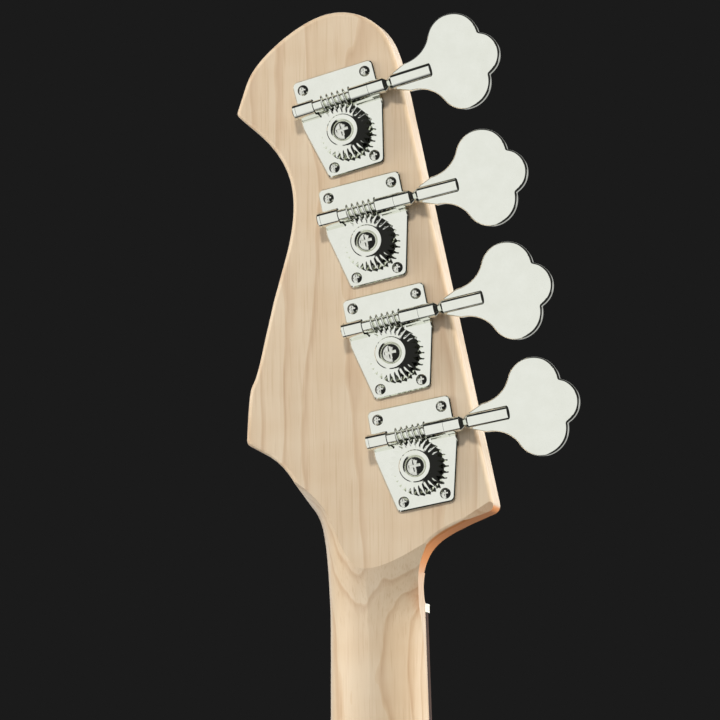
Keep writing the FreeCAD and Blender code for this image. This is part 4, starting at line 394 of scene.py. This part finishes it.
dress(chrome, "volume_knob", "tone_knob", "pot_nuts", "output_jack")
dress(steel, "potentiometers")
brass, tree, shader, place = finish("turned_brass", Metallic=1.0)
round_it = add(tree, "Mapping", {"Vector": place, "Scale": (0.1, 1, 0.1)}).outputs[0]
lathe = add(tree, "TexNoise", {"Vector": round_it, "Scale": 3000.0, "Detail": 2.0}).outputs["Fac"]
yellow = add(tree, "ValToRGB", {"Fac": lathe})
steps(yellow, [(0.3, "#B08B48"), (0.7, "#CDAA66")])
tree.links.new(yellow.outputs["Color"], shader.inputs["Base Color"])
rough = add(tree, "MapRange", {"Value": lathe, "From Min": 0.3, "From Max": 0.7,
                               "To Min": 0.2, "To Max": 0.34})
tree.links.new(rough.outputs[0], shader.inputs["Roughness"])
dress(brass, "volume_shaft", "tone_shaft")


# Capacitor and leads in the control space: a resin-dipped drum and cloth-covered wire, soldered by hand.

resin, tree, shader, place = finish("dipped_resin", Roughness=0.3, IOR=1.5)
lumps = add(tree, "TexNoise", {"Vector": place, "Scale": 600.0, "Detail": 2.0}).outputs["Fac"]
orange = add(tree, "ValToRGB", {"Fac": lumps})
steps(orange, [(0.3, "#A9541A"), (0.7, "#C96C25")])
tree.links.new(orange.outputs["Color"], shader.inputs["Base Color"])
dress(resin, "tone_capacitor")
cloth, tree, shader, place = finish("waxed_cloth_lead", Roughness=0.7)
weave = add(tree, "TexNoise", {"Vector": place, "Scale": 2200.0, "Detail": 1.0}).outputs["Fac"]
lead = add(tree, "ValToRGB", {"Fac": weave})
steps(lead, [(0.35, "#1B1A18"), (0.65, "#35322D")])
tree.links.new(lead.outputs["Color"], shader.inputs["Base Color"])
dress(cloth, "wiring")


# Strings: a steel core wound with round nickel-plated wire from the ball end to the post. The wraps are
# drawn about 1 mm wide, with painted shade in the grooves and a painted highlight that shows each as a fine
# bright ring.

wound, tree, shader, place = finish("wound_nickel_steel", Metallic=1.0)
# The wraps cross the string, so they repeat along the neck
wraps = add(tree, "TexWave", {"Vector": place, "Scale": 318.0}, bands_direction="Z",
            wave_profile="SIN").outputs["Fac"]
# Painted shade and highlight: the colour darkens in the grooves between wraps and brightens on their crests
nickel = add(tree, "ValToRGB", {"Fac": wraps})
steps(nickel, [(0.15, "#77756F"), (0.6, "#C9C7C0")])
tree.links.new(nickel.outputs["Color"], shader.inputs["Base Color"])
worn = add(tree, "MapRange", {"Value": wraps, "To Min": 0.42, "To Max": 0.22})
tree.links.new(worn.outputs[0], shader.inputs["Roughness"])
ridges = add(tree, "Bump", {"Height": wraps, "Strength": 0.5, "Distance": 0.0002})
tree.links.new(ridges.outputs[0], shader.inputs["Normal"])
dress(wound, *["string_%s" % name for name in strings])


# Floor: a pale painted studio floor under the end of the body.

low = cad_box[0]
gap_below = 0.0005
disc = bmesh.new()
bmesh.ops.create_circle(disc, cap_ends=True, segments=96, radius=6.0)
floor_mesh = bpy.data.meshes.new("studio_floor")
disc.to_mesh(floor_mesh)
disc.free()
floor = bpy.data.objects.new("studio_floor", floor_mesh)
floor.location = (0, 0, low.z - gap_below)
bpy.context.scene.collection.objects.link(floor)
paint, tree, shader, place = finish("pale_floor_paint", Roughness=0.6)
scuff = add(tree, "TexNoise", {"Vector": place, "Scale": 3.0, "Detail": 4.0}).outputs["Fac"]
pale = add(tree, "ValToRGB", {"Fac": scuff})
steps(pale, [(0.3, "#DAD9D6"), (0.7, "#E2E1DE")])
tree.links.new(pale.outputs["Color"], shader.inputs["Base Color"])
floor_mesh.materials.append(paint)
# The room lights the instrument, so the floor stays out of its reflections and bounced light
floor.visible_glossy = False
floor.visible_diffuse = False


# Studio: a white wall fills the camera's left and lights the instrument, and the room on its right is dark
# but for a narrow window, so that the plating is white with black edges. A black cloth hangs behind the
# headstock as the camera sees it; from elsewhere the room is pale.

right = Vector((-0.96629, -0.25703, -0.01432))
up = Vector((-0.04655, 0.11972, 0.99170))
back = Vector((-0.25318, 0.95895, -0.12765))
world = bpy.data.worlds.new("studio")
bpy.context.scene.world = world
world.use_nodes = True
tree = world.node_tree
way = add(tree, "TexCoord").outputs["Generated"]


def panel(middle, reach, soft):
    """A round panel in the room: 1 within reach degrees of its middle and 0 past its soft rim."""
    aim = add(tree, "VectorMath", {0: way, 1: middle.normalized()}, operation="DOT_PRODUCT")
    return add(tree, "MapRange", {"Value": aim.outputs["Value"],
                                  "From Min": math.cos(math.radians(reach + soft)),
                                  "From Max": math.cos(math.radians(reach))},
               interpolation_type="SMOOTHSTEP").outputs[0]


# The white wall ends to the left of the camera, level with the instrument, and below a dark ceiling
wall = panel(right * -math.cos(math.radians(15)) + back * -math.sin(math.radians(15)), 90, 6)
wall = add(tree, "Math", {0: wall, 1: panel(back, 86, 8)}, operation="MULTIPLY").outputs[0]
for dark in (panel(up, 32, 5), panel(-up, 18, 5)):
    wall = add(tree, "Math", {0: wall, 1: dark}, operation="SUBTRACT", use_clamp=True).outputs[0]
# A narrow window lights the key side, and a broad grey screen stands before the playing side
screen = add(tree, "Math", {0: panel(Vector((0, -1, 0)), 48, 10), 1: 0.5}, operation="MULTIPLY").outputs[0]
lit = wall
for white in (panel(right * 0.985 - back * 0.17, 12, 5), screen):
    lit = add(tree, "Math", {0: lit, 1: white}, operation="MAXIMUM").outputs[0]
room = add(tree, "MixRGB", {"Fac": lit, "Color1": linear("#2A2A29"), "Color2": linear("#F0F0EE")})
black_cloth = linear("#1B1B1B")
room = add(tree, "MixRGB", {"Fac": panel(-back, 14, 6), "Color1": room.outputs[0], "Color2": black_cloth})
seen = add(tree, "MixRGB", {"Fac": panel(-back, 40, 12), "Color1": linear("#E4E4E2"),
                            "Color2": black_cloth})
direct = add(tree, "LightPath").outputs["Is Camera Ray"]
sky = add(tree, "MixRGB", {"Fac": direct, "Color1": room.outputs[0], "Color2": seen.outputs[0]})
tree.links.new(sky.outputs[0], tree.nodes["Background"].inputs["Color"])
tree.nodes["Background"].inputs["Strength"].default_value = 1.0

# Flags keep the softboxes off the floor, and the overhead light is kept for it
floor_only = bpy.data.collections.new("floor_only")
floor_only.objects.link(floor)
all_but_floor = bpy.data.collections.new("all_but_floor")
all_but_floor.objects.link(floor)
all_but_floor.collection_objects[0].light_linking.link_state = "EXCLUDE"
head = Vector((0, 0, 1.06))
for name, spot, aim, size, power in (
        ("top_softbox", head + (up * 0.72 + back * 0.66 - right * 0.15) * 4.4, head, (0.5, 0.5), 120),
        ("left_softbox", head + (right * -0.98 + up * 0.15 - back * 0.09) * 2.2, head, (1.6, 1.2), 44),
        ("right_softbox", head + (right * 0.97 + up * 0.15 + back * 0.17) * 2.2, head, (0.8, 1.2), 68),
        ("front_softbox", Vector((-2.0, -4.5, 3.2)), Vector((0, 0, 0.4)), (2.0, 2.0), 190)):
    lamp = bpy.data.lights.new(name, "AREA")
    lamp.shape = "RECTANGLE"
    lamp.size, lamp.size_y = size
    lamp.energy = power
    light = bpy.data.objects.new(name, lamp)
    light.location = spot
    light.rotation_mode = "QUATERNION"
    light.rotation_quaternion = (aim - spot).to_track_quat("-Z", "Y")
    light.visible_camera = False
    light.visible_glossy = False
    light.light_linking.receiver_collection = all_but_floor
    bpy.context.scene.collection.objects.link(light)
# A wide overhead light keeps the floor even
lamp = bpy.data.lights.new("overhead", "SUN")
lamp.energy = 2.7
lamp.angle = math.radians(60)
light = bpy.data.objects.new("overhead", lamp)
light.visible_glossy = False
light.light_linking.receiver_collection = floor_only
bpy.context.scene.collection.objects.link(light)


# Camera: a long lens level with the player's chest, behind the headstock and a little to its key side.

lens = bpy.data.cameras.new("camera")
lens.lens = 225.0
lens.sensor_width = 36.0
camera = bpy.data.objects.new("camera", lens)
camera.matrix_world = Matrix((
    (right.x, up.x, back.x, -0.4490),
    (right.y, up.y, back.y, 1.6985),
    (right.z, up.z, back.z, 0.8160),
    (0, 0, 0, 1)))
bpy.context.scene.collection.objects.link(camera)
bpy.context.scene.camera = camera
bpy.context.scene.view_settings.view_transform = "Standard"

bpy.context.view_layer.update()
